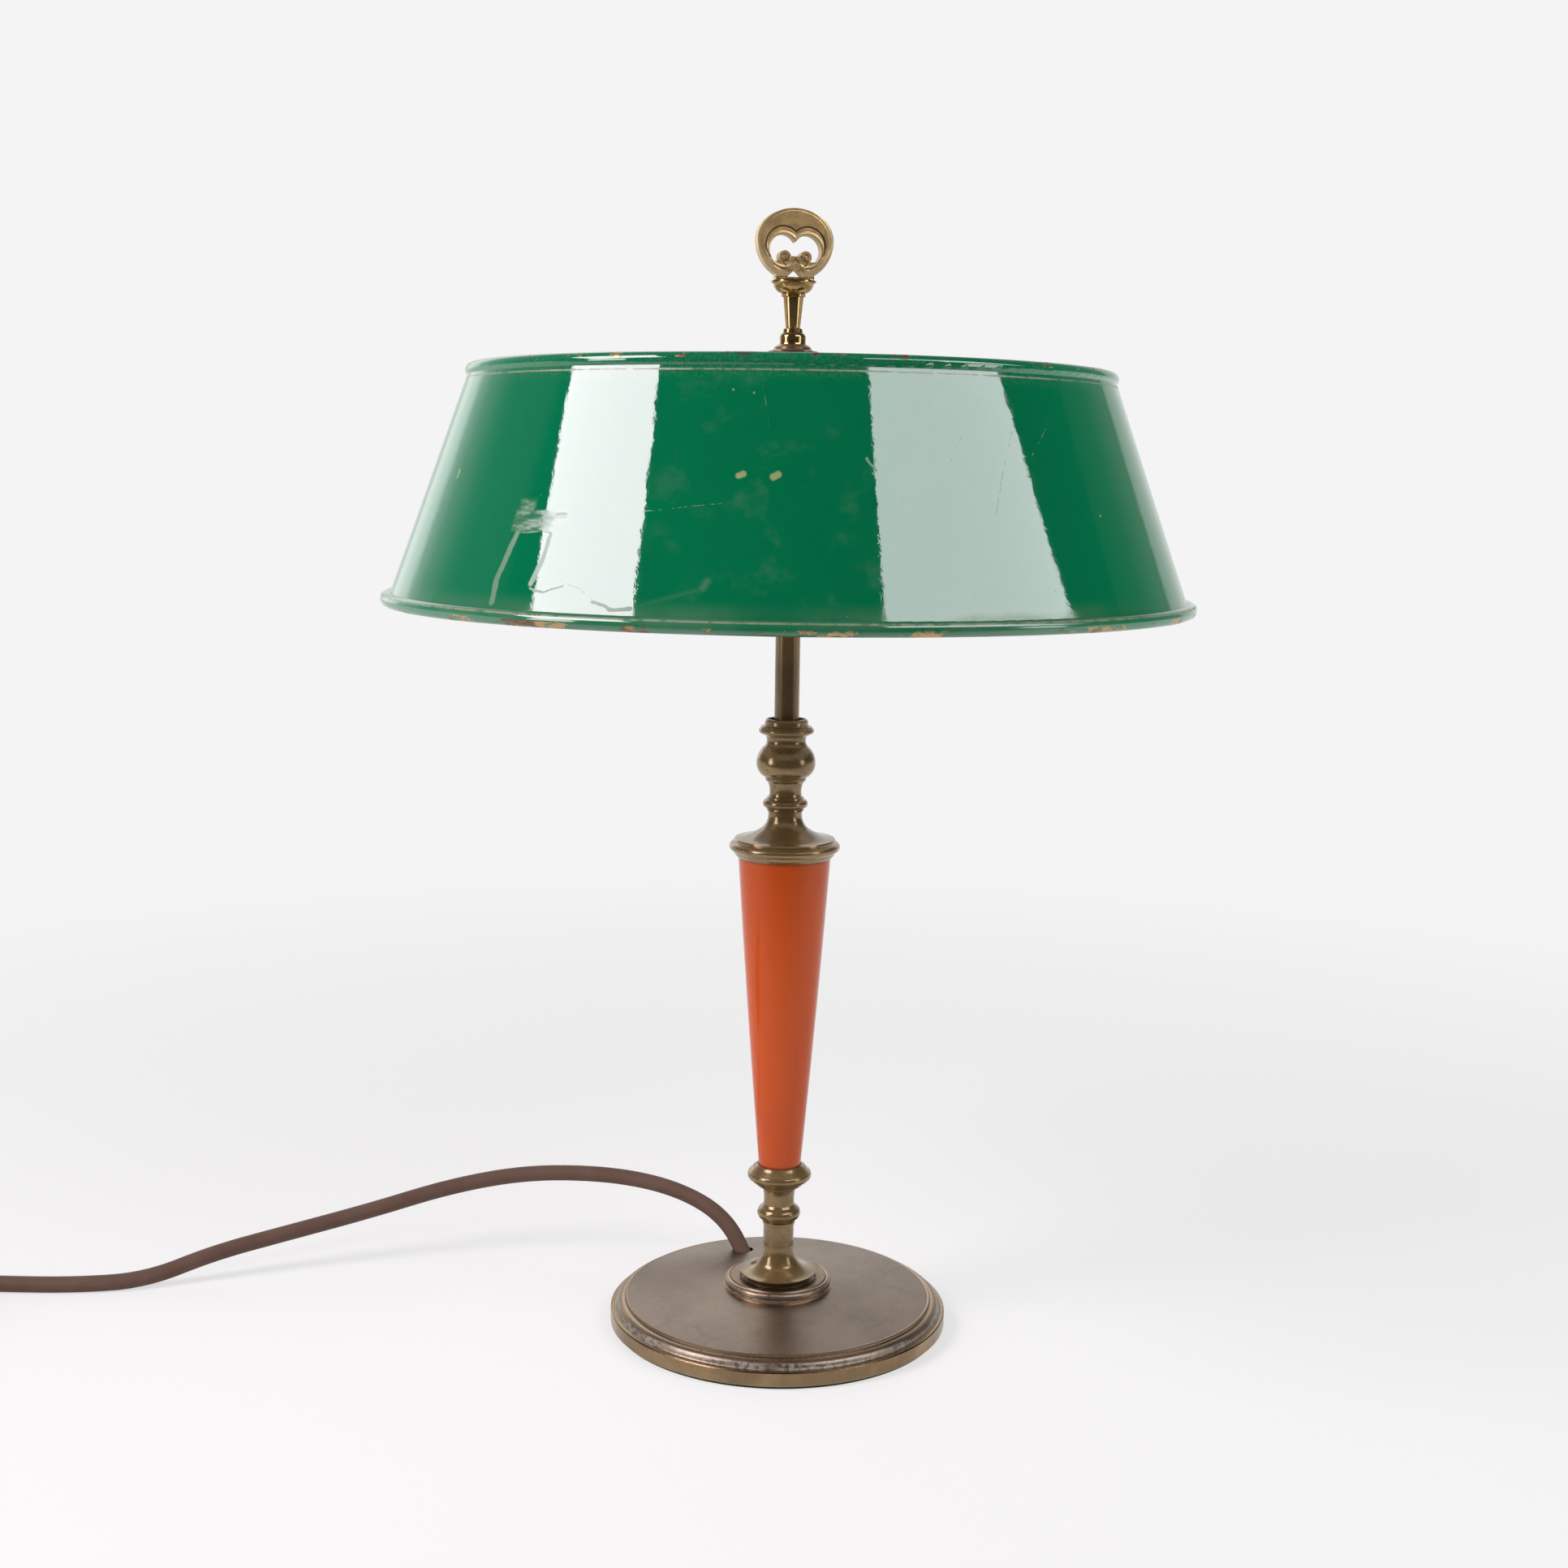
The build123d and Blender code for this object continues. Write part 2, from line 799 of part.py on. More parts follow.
def make_key_loop():
    """The key's flat loop: a heart-shaped opening with a curl on a shelf in each lower lobe, and a gap
    between the legs."""
    wide = 2 * loop_half_width
    upper = Pos(0, z_loop) * Ellipse(loop_half_width, loop_top_height)
    upper -= Pos(0, z_loop - loop_top_height) * Rectangle(wide, 2 * loop_top_height)
    lower = Pos(0, z_loop) * Ellipse(loop_half_width, loop_foot_height)
    lower -= Pos(0, z_loop + loop_foot_height) * Rectangle(wide, 2 * loop_foot_height)
    lower -= Pos(0, z_key_top - loop_foot_height) * Rectangle(wide, 2 * loop_foot_height)
    face = upper + lower
    face += Pos(0, z_key_top + leg_height / 2 - 0.2) * Rectangle(2 * leg_half_width, leg_height + 0.4)
    opening = two_lobes(lobe_rad, lobe_spread, lobe_drop)
    for side in (-1, 1):
        opening -= Pos(side * volute_spread, z_loop - volute_drop) * Circle(volute_rad)
    opening -= Pos(0, z_loop - shelf_drop - volute_rad) * Rectangle(2 * shelf_half_width, 2 * volute_rad)
    opening -= Pos(0, z_loop - sill_drop - volute_rad) * Rectangle(wide, 2 * volute_rad)
    gap = Polygon((-leg_gap, 0), (leg_gap, 0), (0, leg_gap_height), align=None)
    face = face - opening - Pos(0, z_key_top) * gap
    loop = extrude(Plane.XZ * face, loop_thick / 2, both=True)
    line = two_lobes(groove_rad, lobe_spread, groove_drop)
    line -= two_lobes(groove_rad - groove_width, lobe_spread, groove_drop)
    line -= Pos(0, z_key_top) * Rectangle(wide, 2 * volute_drop)
    for side in (-1, 1):
        middle = Pos(0, side * (loop_thick - groove_depth) / 2, 0)
        loop -= middle * extrude(Plane.XZ * line, groove_depth / 2, both=True)
    return Rot(0, 0, loop_turn) * loop


def make_key_finial():
    stem = turned(
        (0, z_key + thread_depth),
        (stud_tip_rad + fit, z_key + thread_depth),
        (stud_tip_rad + fit, z_key),
        (bell_rad, z_key),
        (bell_rad - 0.2, z_key + 0.6),
        (bell_rad - 0.2, z_key + 2.6),
        (key_stem_rad + 1.2, z_key + bell_height - 0.2, 0.5),
        (key_stem_rad + 1.0, z_key + bell_height + 1.4),
        (key_stem_rad, z_key_stem),
        (key_stem_rad + 1.3, z_key_cup - 0.4),
        (key_stem_rad + 2.1, z_key_cup),
        (key_stem_rad + 2.2, z_key_cup + 0.9),
        (key_stem_rad + 1.9, z_key_cup + 1.3),
        (key_cup_rad - 1.1, z_key_top - 2.4, 0.9),
        (key_cup_rad, z_key_top - 1.8),
        (key_cup_rad, z_key_top - 1.2),
        (key_cup_rad - 1.2, z_key_top - 0.3),
        (key_cup_rad - 2.0, z_key_top),
        (0, z_key_top),
    )
    return stem + make_key_loop()


# Cord, wires, coil and plug


def make_supply_wire(number):
    """A core of the cord: out of its end, under the weight and up the threaded tube."""
    end = Vector(*cord_route[0])
    way = (Vector(*cord_route[1]) - end).normalized()
    heading = math.degrees(math.atan2(end.Y, end.X))
    beside = Vector(0, number * wire_pitch, 0).rotate(Axis.Z, heading)
    level = z_felt + wire_rad + 0.2
    corner = end + beside - way * (end.Z - level)
    start = corner + way * 2.5 * wire_rad
    points = [
        start,
        Vector(corner.X, corner.Y, level),
        Vector(beside.X, beside.Y, level),
        Vector(beside.X, beside.Y, z_lamps - block_drop),
    ]
    return round_tube(points, wire_rad, [wire_bend, wire_bend])


def make_branch_leads():
    """Two leads to each lampholder, from the terminal block through the nipple."""
    leads = []
    for side in (-1, 1):
        for row in (-1, 1):
            lead = Cylinder(wire_rad, insulator_start - lead_start)
            middle = side * (insulator_start + lead_start) / 2
            leads.append(Pos(middle, row * lead_spread, z_lamps) * Rot(0, 90, 0) * lead)
    return leads


def coil_section():
    """The outer shape of the coil's turns where they are cut across: a lower row and a shorter upper one."""
    turns = []
    for row, count in enumerate((coil_turns_low, coil_turns_high)):
        first = coil_turns_low - count
        for turn in range(first, coil_turns_low):
            across = coil_turn_rad - turn * cord_dia
            turns += (Pos(across, tie_thick + cord_rad + row * cord_dia) * Circle(cord_rad)).edges()
    return make_hull(turns)


def make_cord_coil():
    """The outer shape of the neat coil that the spare cord is wound into."""
    return Pos(coil_x, coil_y, 0) * revolve(Plane.XZ * coil_section(), Axis.Z)


def make_cord_ties():
    """Two bands round the coil's turns."""
    inner = coil_section()
    band = extrude(Plane.XZ * (offset(inner, tie_thick) - inner), tie_width / 2, both=True)
    return [Pos(coil_x, coil_y, 0) * Rot(0, 0, angle) * band - make_cord_coil() for angle in tie_angles]


def at_plug(piece):
    """Puts a piece drawn upright on the plug's axis where the plug lies, pins towards -Y."""
    return Pos(plug_x, plug_start_y, plug_rad) * Rot(90, 0, 0) * piece


def make_plug_clip(side):
    """A strip of the earth contact in its recess in the plug's side."""
    face = boot_length + plug_length
    strip = Box(clip_width, clip_thick, plug_length - 2 * clip_end_gap)
    middle = face - plug_length / 2 + clip_end_gap
    return Pos(0, side * (plug_rad - clip_recess - clip_thick / 2), middle) * strip


def make_plug_body():
    """A round two-pin plug with a tapered boot, lying on its side."""
    face = boot_length + plug_length
    body = turned(
        (0, 0),
        (cord_rad + 1.3, 0),
        (boot_rad, boot_length - 1.0),
        (plug_rad - 4.0, boot_length + 1.0),
        (plug_rad, boot_length + 6.0, 1.1),
        (plug_rad, face - 1.0),
        (plug_rad - 1.0, face),
        (0, face),
    )
    depth = clip_recess + clip_thick
    recess = Box(clip_width, depth, plug_length - 2 * clip_end_gap)
    for side in (-1, 1):
        body -= Pos(0, side * (plug_rad - depth / 2), face - plug_length / 2 + clip_end_gap) * recess
    return at_plug(body)


def make_plug_pins():
    face = boot_length + plug_length
    pin = fillet(Cylinder(pin_rad, pin_length, align=seated).edges().group_by(Axis.Z)[-1], 1.5)
    return [at_plug(Pos(side * pin_spacing / 2, 0, face) * pin) for side in (-1, 1)]


parts = {
    "felt_pad": make_felt_pad(),
    "base_plate": make_base_plate(),
    "cord_bush": make_cord_bush(),
    "base_weight": make_base_weight(),
    "base_washer": tube(washer_rad, bore, z_washer, washer_thick),
    "base_nut": hex_nut(z_nut),
    "tie_tube": make_tie_tube(),
    "foot_spacer": make_foot_spacer(),
    "foot_stem": make_foot_stem(),
    "lower_knop": make_lower_knop(),
    "column_cup": make_column_cup(),
    "column_cone": make_column_cone(),
    "capital": make_capital(),
    "upper_knop": make_upper_knop(),
    "baluster": make_baluster(),
    "rod_cup": make_rod_cup(),
    "rod_sleeve": tube(sleeve_rad, bore, z_sleeve, sleeve_length),
    "cluster_body": make_cluster_body(),
    "cluster_nut": hex_nut(z_cluster + cluster_wall),
    "cluster_cover": make_cluster_cover(),
    "terminal_block": make_terminal_block(),
    "top_stud": make_top_stud(),
    "upper_sleeve": tube(sleeve_rad, tube_rad, z_upper_sleeve, upper_sleeve_length),
    "shade_seat": tube(seat_rad, tube_rad, z_seat, seat_height),
    "arm_nipples": make_arm_nipples(),
    "branch_leads": make_branch_leads(),
    "live_wire": make_supply_wire(-1),
    "neutral_wire": make_supply_wire(0),
    "earth_wire": make_supply_wire(1),
    "shade": make_shade(),
    "upper_rim_wire": make_rim_wire(top_bead_rad, z_top_bead),
    "lower_rim_wire": make_rim_wire(bottom_bead_rad, z_bottom_bead),
    "spider_hub": make_spider_hub(),
    "spider_arms": make_spider_arms(),
    "clamp_washer": make_clamp_washer(),
    "key_finial": make_key_finial(),
    "cord": cord_tube("cord", cord_route),
    "cord_coil": make_cord_coil(),
    "cord_ties": make_cord_ties(),
    "cord_tail": cord_tube("cord_tail", tail_route),
    "plug_body": make_plug_body(),
    "plug_pins": make_plug_pins(),
    "plug_earth_clips": [at_plug(make_plug_clip(side)) for side in (-1, 1)],
}
both_sides("holder_cap", make_holder_cap())
both_sides("holder_shell", make_holder_shell())
both_sides("holder_insulator", make_insulator())
both_sides("thread_shell", make_thread_shell())
both_sides("bulb_cap", make_bulb_cap())
both_sides("bulb_glass", make_bulb_glass())
both_sides("switch_key", make_switch_key())
contact = make_centre_contact()
parts["centre_contacts"] = [contact, mirror(contact, about=Plane.YZ)]

os.makedirs("parts", exist_ok=True)
for name, piece in parts.items():
    if isinstance(piece, list):
        piece = Compound(children=piece)
    export_step(piece, f"parts/{name}.step")
print(len(parts), "nodes")
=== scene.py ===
import math

import bpy
from mathutils import Matrix, Vector


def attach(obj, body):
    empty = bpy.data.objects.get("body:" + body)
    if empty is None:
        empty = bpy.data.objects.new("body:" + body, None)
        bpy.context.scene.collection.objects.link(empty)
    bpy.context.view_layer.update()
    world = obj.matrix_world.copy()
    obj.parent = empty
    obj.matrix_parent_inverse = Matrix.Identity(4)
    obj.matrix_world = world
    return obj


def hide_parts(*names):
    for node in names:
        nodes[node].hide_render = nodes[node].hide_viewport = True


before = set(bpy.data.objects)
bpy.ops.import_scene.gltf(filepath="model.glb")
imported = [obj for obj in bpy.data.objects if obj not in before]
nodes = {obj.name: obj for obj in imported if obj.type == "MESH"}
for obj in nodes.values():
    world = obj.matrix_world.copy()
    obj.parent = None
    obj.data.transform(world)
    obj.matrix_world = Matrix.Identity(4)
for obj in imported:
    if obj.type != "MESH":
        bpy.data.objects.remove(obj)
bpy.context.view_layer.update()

# The lamp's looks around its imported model. Lengths are in metres, and in the materials in millimetres.


# Camera

camera_lens = 47.58
camera_place = (-0.00076, -0.94994, 0.40241)
camera_pitch = math.radians(8.5)
camera_roll = math.radians(0.9065)


def add_camera():
    data = bpy.data.cameras.new("camera")
    data.lens = camera_lens
    data.sensor_width = 36.0
    data.clip_end = 50.0
    camera = bpy.data.objects.new("camera", data)
    look = Matrix.Rotation(math.pi / 2 - camera_pitch, 4, "X")
    camera.matrix_world = Matrix.Translation(camera_place) @ look @ Matrix.Rotation(camera_roll, 4, "Z")
    bpy.context.scene.collection.objects.link(camera)
    bpy.context.scene.camera = camera


# Cord: the route of the CAD tube, then the turns of the coil, then the run to the plug

cord_diameter = 0.0079
cord_route = [
    (-0.0139, 0.0463, 0.0040),
    (-0.0185, 0.0500, 0.0170),
    (-0.0280, 0.0575, 0.0290),
    (-0.0430, 0.0660, 0.0365),
    (-0.0650, 0.0755, 0.0410),
    (-0.0940, 0.0830, 0.0425),
    (-0.1320, 0.0865, 0.0410),
    (-0.1700, 0.0780, 0.0360),
    (-0.2090, 0.0660, 0.0265),
    (-0.2490, 0.0520, 0.0190),
    (-0.2820, 0.0380, 0.0135),
    (-0.3120, 0.0250, 0.0040),
    (-0.3450, 0.0175, 0.0040),
    (-0.3820, 0.0175, 0.0040),
    (-0.4180, 0.0180, 0.0045),
]
tail_route = [
    (-0.4821, -0.0600, 0.0125),
    (-0.4821, -0.0780, 0.0184),
    (-0.4821, -0.0930, 0.0185),
]
coil_centre = (-0.436, -0.036)
coil_radius = 0.054
coil_low = 0.00455
points_per_turn = 18
control_reach = 0.985


def eased(value, start, end):
    """0 before start, 1 after end, and smooth between."""
    part = min(max((value - start) / (end - start), 0.0), 1.0)
    return part * part * (3 - 2 * part)


def coil_point(turned):
    """A point of the coil, by how far it has turned, in degrees from its outer turn's start."""
    radius = coil_radius
    for lap in (1, 2):
        angle = min(turned + 90 - 360 * lap, 90.0)
        if angle > 0:
            radius = min(radius, coil_radius / math.sin(math.radians(angle)) - lap * cord_diameter)
    radius += eased(turned, 1310.0, 1350.0) * cord_diameter
    up = eased(turned, 990.0, 1049.0)
    radius /= control_reach
    angle = math.radians(turned + 90)
    return (
        coil_centre[0] + radius * math.cos(angle),
        coil_centre[1] + radius * math.sin(angle),
        coil_low + up * cord_diameter,
    )


def add_cord():
    step = 360.0 / points_per_turn
    turns = [coil_point(number * step) for number in range(int(1530 / step) + 1)]
    points = cord_route + turns + tail_route
    data = bpy.data.curves.new("flex", "CURVE")
    data.dimensions = "3D"
    spline = data.splines.new("NURBS")
    spline.points.add(len(points) - 1)
    for point, place in zip(spline.points, points):
        point.co = (*place, 1.0)
        point.radius = cord_diameter / 2
    spline.order_u = 3
    spline.use_endpoint_u = True
    spline.resolution_u = 6
    data.bevel_depth = 1.0
    data.bevel_resolution = 6
    data.use_fill_caps = True
    cord = bpy.data.objects.new("flex", data)
    bpy.context.scene.collection.objects.link(cord)
    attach(cord, "lamp")
    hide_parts("cord", "cord_coil", "cord_tail")
    return cord


add_camera()
flex = add_cord()


# Materials


class Paint:
    """A material being made, with short names for the nodes that it uses."""

    def __init__(self, name):
        self.material = bpy.data.materials.new(name)
        self.material.use_nodes = True
        self.tree = self.material.node_tree
        self.shader = self.tree.nodes["Principled BSDF"]
        place = self.node("ShaderNodeTexCoord").outputs["Object"]
        self.place = self.vector("SCALE", place, scale=1000.0)
        split = self.node("ShaderNodeSeparateXYZ")
        self.feed(split.inputs[0], self.place)
        self.x, self.y, self.z = split.outputs
        flat = self.math("ADD", self.math("MULTIPLY", self.x, self.x), self.math("MULTIPLY", self.y, self.y))
        self.radius = self.math("SQRT", flat)

    def node(self, kind, **settings):
        made = self.tree.nodes.new(kind)
        for name, value in settings.items():
            setattr(made, name, value)
        return made

    def feed(self, socket, value):
        if isinstance(value, bpy.types.NodeSocket):
            self.tree.links.new(value, socket)
        else:
            socket.default_value = value

    def set(self, **values):
        """Sets the shader's own sockets, by their names with _ for a space."""
        for name, value in values.items():
            if isinstance(value, tuple) and len(value) == 3:
                value = (*value, 1.0)
            self.feed(self.shader.inputs[name.replace("_", " ")], value)

    def math(self, operation, first, second=0.0, third=0.0, clamp=False):
        made = self.node("ShaderNodeMath", operation=operation, use_clamp=clamp)
        for socket, value in zip(made.inputs, (first, second, third)):
            self.feed(socket, value)
        return made.outputs[0]

    def vector(self, operation, first, second=(0.0, 0.0, 0.0), scale=1.0):
        made = self.node("ShaderNodeVectorMath", operation=operation)
        self.feed(made.inputs[0], first)
        if operation == "SCALE":
            self.feed(made.inputs["Scale"], scale)
        else:
            self.feed(made.inputs[1], second)
        return made.outputs["Value" if operation in ("LENGTH", "DISTANCE", "DOT_PRODUCT") else 0]

    def noise(self, size, seed=0.0, detail=3.0, roughness=0.55, stretch=None, twist=0.0):
        """Noise whose patches are about size millimetres across."""
        made = self.node("ShaderNodeTexNoise", noise_dimensions="4D")
        where = self.place if stretch is None else self.vector("MULTIPLY", self.place, stretch)
        self.feed(made.inputs["Vector"], where)
        self.feed(made.inputs["W"], seed)
        self.feed(made.inputs["Scale"], 1.0 / size)
        self.feed(made.inputs["Detail"], detail)
        self.feed(made.inputs["Roughness"], roughness)
        self.feed(made.inputs["Distortion"], twist)
        return made.outputs[0]

    def specks(self, spacing, size, share, seed=0.0):
        """Small round marks: about one in each spacing millimetres, of which only a share is there."""
        made = self.node("ShaderNodeTexVoronoi", voronoi_dimensions="4D")
        warp = self.noise(2.0 * size, seed + 3.0, 2.0)
        self.feed(made.inputs["Vector"], self.vector("ADD", self.place, self.spread(warp, 2.0 * size)))
        self.feed(made.inputs["W"], seed)
        self.feed(made.inputs["Scale"], 1.0 / spacing)
        chance = self.node("ShaderNodeSeparateColor")
        self.feed(chance.inputs[0], made.outputs["Color"])
        there = self.math("GREATER_THAN", chance.outputs[0], 1.0 - share)
        reach = self.math("MULTIPLY", chance.outputs[1], size / spacing)
        near = self.step(made.outputs["Distance"], reach, self.math("MULTIPLY", reach, 0.6))
        return self.math("MULTIPLY", near, there)

    def spread(self, value, amount):
        """A number as a small shift of place, the same along X, Y and Z."""
        shift = self.math("MULTIPLY", self.math("SUBTRACT", value, 0.5), amount)
        made = self.node("ShaderNodeCombineXYZ")
        for socket in made.inputs:
            self.feed(socket, shift)
        return made.outputs[0]

    def step(self, value, low, high, out_low=0.0, out_high=1.0):
        """Smooth from out_low at low to out_high at high."""
        made = self.node("ShaderNodeMapRange", interpolation_type="SMOOTHSTEP")
        for name, given in zip(
            ("Value", "From Min", "From Max", "To Min", "To Max"), (value, low, high, out_low, out_high)
        ):
            self.feed(made.inputs[name], given)
        return made.outputs[0]

    def band(self, value, low, high, soft):
        """1 between low and high, and 0 outside."""
        rise = self.step(value, low - soft, low + soft)
        fall = self.step(value, high - soft, high + soft, 1.0, 0.0)
        return self.math("MULTIPLY", rise, fall)

    def mix(self, share, first, second):
        made = self.node("ShaderNodeMix", data_type="RGBA")
        self.feed(made.inputs["Factor"], share)
        for socket, value in zip((made.inputs[6], made.inputs[7]), (first, second)):
            if isinstance(value, tuple) and len(value) == 3:
                value = (*value, 1.0)
            self.feed(socket, value)
        return made.outputs[2]

    def either(self, *masks):
        """The strongest of several masks."""
        best = masks[0]
        for mask in masks[1:]:
            best = self.math("MAXIMUM", best, mask)
        return best

    def times(self, *values):
        product = values[0]
        for value in values[1:]:
            product = self.math("MULTIPLY", product, value)
        return product

    def stroke(self, place, points, width, soft=0.5):
        """A line through points, in the millimetres of place."""
        nearest = None
        for start, end in zip(points, points[1:]):
            way = Vector((end[0] - start[0], end[1] - start[1], 0))
            offset = self.vector("SUBTRACT", place, (*start, 0))
            along = self.vector("DOT_PRODUCT", offset, way)
            along = self.math("DIVIDE", along, way.length_squared, clamp=True)
            gap = self.vector("DISTANCE", offset, self.vector("SCALE", tuple(way), scale=along))
            nearest = gap if nearest is None else self.math("MINIMUM", nearest, gap)
        return self.step(nearest, width / 2 - soft / 2, width / 2 + soft / 2, 1.0, 0.0)

    def patch(self, spot, left, right, low, high, soft_sides, soft_ends):
        """1 inside a rectangle, in the millimetres of spot, and 0 outside."""
        across = self.band(spot[0], left, right, soft_sides)
        return self.math("MULTIPLY", across, self.band(spot[1], low, high, soft_ends))

    def bump(self, height, depth, under=None):
        """Relief of depth millimetres."""
        made = self.node("ShaderNodeBump")
        self.feed(made.inputs["Height"], height)
        self.feed(made.inputs["Distance"], depth / 1000.0)
        if under is not None:
            self.feed(made.inputs["Normal"], under)
        return made.outputs[0]


# The shade's marks: across, they're measured round this radius from the front, and the chips in degrees
mark_radius = 160.0
chipped_from_to = (
    (-48.0, -43.0),
    (-39.0, -27.5),
    (-19.8, -16.6),
    (-10.2, -8.6),
    (1.5, 8.2),
    (14.5, 19.3),
    (39.6, 47.2),
    (52.8, 54.4),
    (59.6, 65.0),
)

# The shade's height at its rolled edges, the radius of its inner face at a level, and how it widens
lower_edge_from_to = (345.9, 345.2)
upper_edge_from_to = (445.0, 446.5)
inner_radius = 145.0
inner_level = 443.0
shade_slope = 0.3606

# The key's loop: how far it is turned from the front in degrees, and the levels of its foot and middle
loop_turned = 18.0
loop_foot = 489.2
loop_level = 505.5

# The base by radius: the edges of its disc and rim, and its centre ring
disc_edge = 72.5
rim_edge = 78.9
ring_from_to = (17.6, 25.9)


def dress(material, *names):
    """Gives a material to CAD nodes."""
    for name in names:
        data = nodes[name].data
        data.materials.clear()
        data.materials.append(material)


def aged_brass(name, gold, brown, share, rough, metal=1.0, coat=0.0, seed=0.0, dust=0.25):
    """Old brass: gold where it is rubbed, brown where it is tarnished, with turning lines, pits and dust.
    The less metal there is, the more of it is dull brown patina, under a glossy coat."""
    paint = Paint(name)
    cloud = paint.noise(14.0, seed, 4.0, 0.6)
    fine = paint.noise(1.6, seed + 1.0, 3.0, 0.6)
    lines = paint.noise(3.0, seed + 2.0, 3.0, 0.7, stretch=(0.25, 0.25, 7.0))
    tarnish = paint.math("ADD", paint.math("MULTIPLY", cloud, 0.7), paint.math("MULTIPLY", fine, 0.3))
    tarnish = paint.step(tarnish, 0.5 - share, 1.0 - share)
    colour = paint.mix(tarnish, gold, brown)
    colour = paint.mix(paint.step(lines, 0.40, 0.80, 0.0, 0.25), colour, tuple(0.55 * c for c in brown))
    pits = paint.specks(5.0, 0.4, 0.3, seed + 5.0)
    colour = paint.mix(paint.math("MULTIPLY", pits, 0.8), colour, tuple(0.3 * c for c in brown))
    film = paint.math("MULTIPLY", paint.specks(3.0, 0.28, 0.35, seed + 8.0), dust)
    colour = paint.mix(film, colour, (0.42, 0.37, 0.30))
    roughness = paint.step(tarnish, 0.0, 1.0, rough, rough + 0.08)
    roughness = paint.math("ADD", roughness, paint.math("MULTIPLY", fine, 0.05))
    shine = paint.times(paint.math("SUBTRACT", 1.0, film), paint.step(tarnish, 0.0, 1.0, metal, 0.75 * metal))
    normal = paint.bump(lines, 0.0015)
    normal = paint.bump(fine, 0.001, normal)
    normal = paint.bump(paint.math("SUBTRACT", 1.0, pits), 0.05, normal)
    paint.set(Base_Color=colour, Metallic=shine, Roughness=roughness, Normal=normal)
    paint.set(Coat_Weight=coat, Coat_Roughness=0.05)
    return paint.material


def finial_brass():
    """The key: rubbed gold, with a raised band round its opening, scrolls on its curls and dark hollows."""
    paint = Paint("finial_brass")
    turn = math.radians(loop_turned)
    up = paint.math("SUBTRACT", paint.z, loop_level)
    across = paint.math("MULTIPLY", paint.x, math.cos(turn))
    across = paint.math("MULTIPLY_ADD", paint.y, math.sin(turn), across)
    flat = paint.node("ShaderNodeCombineXYZ")
    paint.feed(flat.inputs[0], paint.math("ABSOLUTE", across))
    paint.feed(flat.inputs[1], up)
    face = flat.outputs[0]
    loop = paint.step(paint.z, loop_foot, loop_foot + 0.8)
    cloud = paint.noise(5.0, 41.0, 4.0, 0.65)
    fine = paint.noise(0.9, 42.0, 3.0, 0.6)
    lobe = paint.math("SUBTRACT", paint.vector("DISTANCE", face, (5.6, -4.3, 0.0)), 6.6)
    groove = paint.math("SUBTRACT", paint.vector("DISTANCE", face, (5.6, -2.3, 0.0)), 8.15)
    outline = paint.vector("LENGTH", paint.vector("MULTIPLY", face, (1.0, 1.22, 1.0)))
    scroll = []
    for number in range(13):
        angle = math.radians(-60.0 + 36.0 * number)
        reach = 0.5 + 0.155 * number
        scroll.append((4.9 - reach * math.cos(angle), -7.3 + reach * math.sin(angle)))
    scroll += [(5.9, -9.6), (4.4, -11.2), (3.6, -13.0)]
    curl = paint.stroke(face, scroll, 0.45, 0.5)
    side_band = paint.stroke(face, ((11.2, -9.0), (9.6, -11.2), (6.9, -12.6), (5.0, -12.4)), 0.5, 0.7)
    stem_line = paint.stroke(face, ((0.0, -8.2), (1.9, -10.6), (3.4, -14.0)), 0.5, 0.7)
    low = paint.step(up, -8.0, -6.5)
    hollow = paint.times(paint.band(groove, -0.25, 0.5, 0.35), low)
    hollow = paint.times(paint.either(hollow, curl, side_band, stem_line), loop)
    rim = paint.times(paint.step(outline, 15.4, 17.4), loop)
    ridge = paint.times(paint.band(lobe, 0.4, 1.3, 0.5), loop)
    colour = paint.mix(paint.step(cloud, 0.35, 0.68), (0.66, 0.45, 0.19), (0.46, 0.30, 0.125))
    grime = paint.times(paint.step(cloud, 0.46, 0.60), paint.step(fine, 0.46, 0.58))
    grime = paint.times(grime, paint.band(groove, 0.0, 3.4, 0.8), loop)
    colour = paint.mix(paint.math("MULTIPLY", grime, 0.55), colour, (0.30, 0.22, 0.15))
    colour = paint.mix(paint.math("MULTIPLY", hollow, 0.85), colour, (0.10, 0.065, 0.035))
    colour = paint.mix(paint.math("MULTIPLY", paint.either(rim, ridge), 0.5), colour, (0.86, 0.66, 0.38))
    colour = paint.mix(loop, paint.mix(0.45, colour, (0.20, 0.15, 0.06)), colour)
    height = paint.math("MULTIPLY", rim, -0.9)
    height = paint.math("MULTIPLY_ADD", hollow, -0.5, height)
    height = paint.math("MULTIPLY_ADD", ridge, 0.35, height)
    normal = paint.bump(height, 0.8)
    normal = paint.bump(paint.math("MULTIPLY", loop, cloud), 0.10, normal)
    rough = paint.math("ADD", paint.step(loop, 0.0, 1.0, 0.13, 0.30), paint.math("MULTIPLY", fine, 0.06))
    rough = paint.either(rough, paint.math("MULTIPLY", hollow, 0.5))
    metal = paint.step(loop, 0.0, 1.0, 0.9, 0.5)
    paint.set(Base_Color=colour, Metallic=metal, Roughness=rough, Normal=normal)
    return paint.material


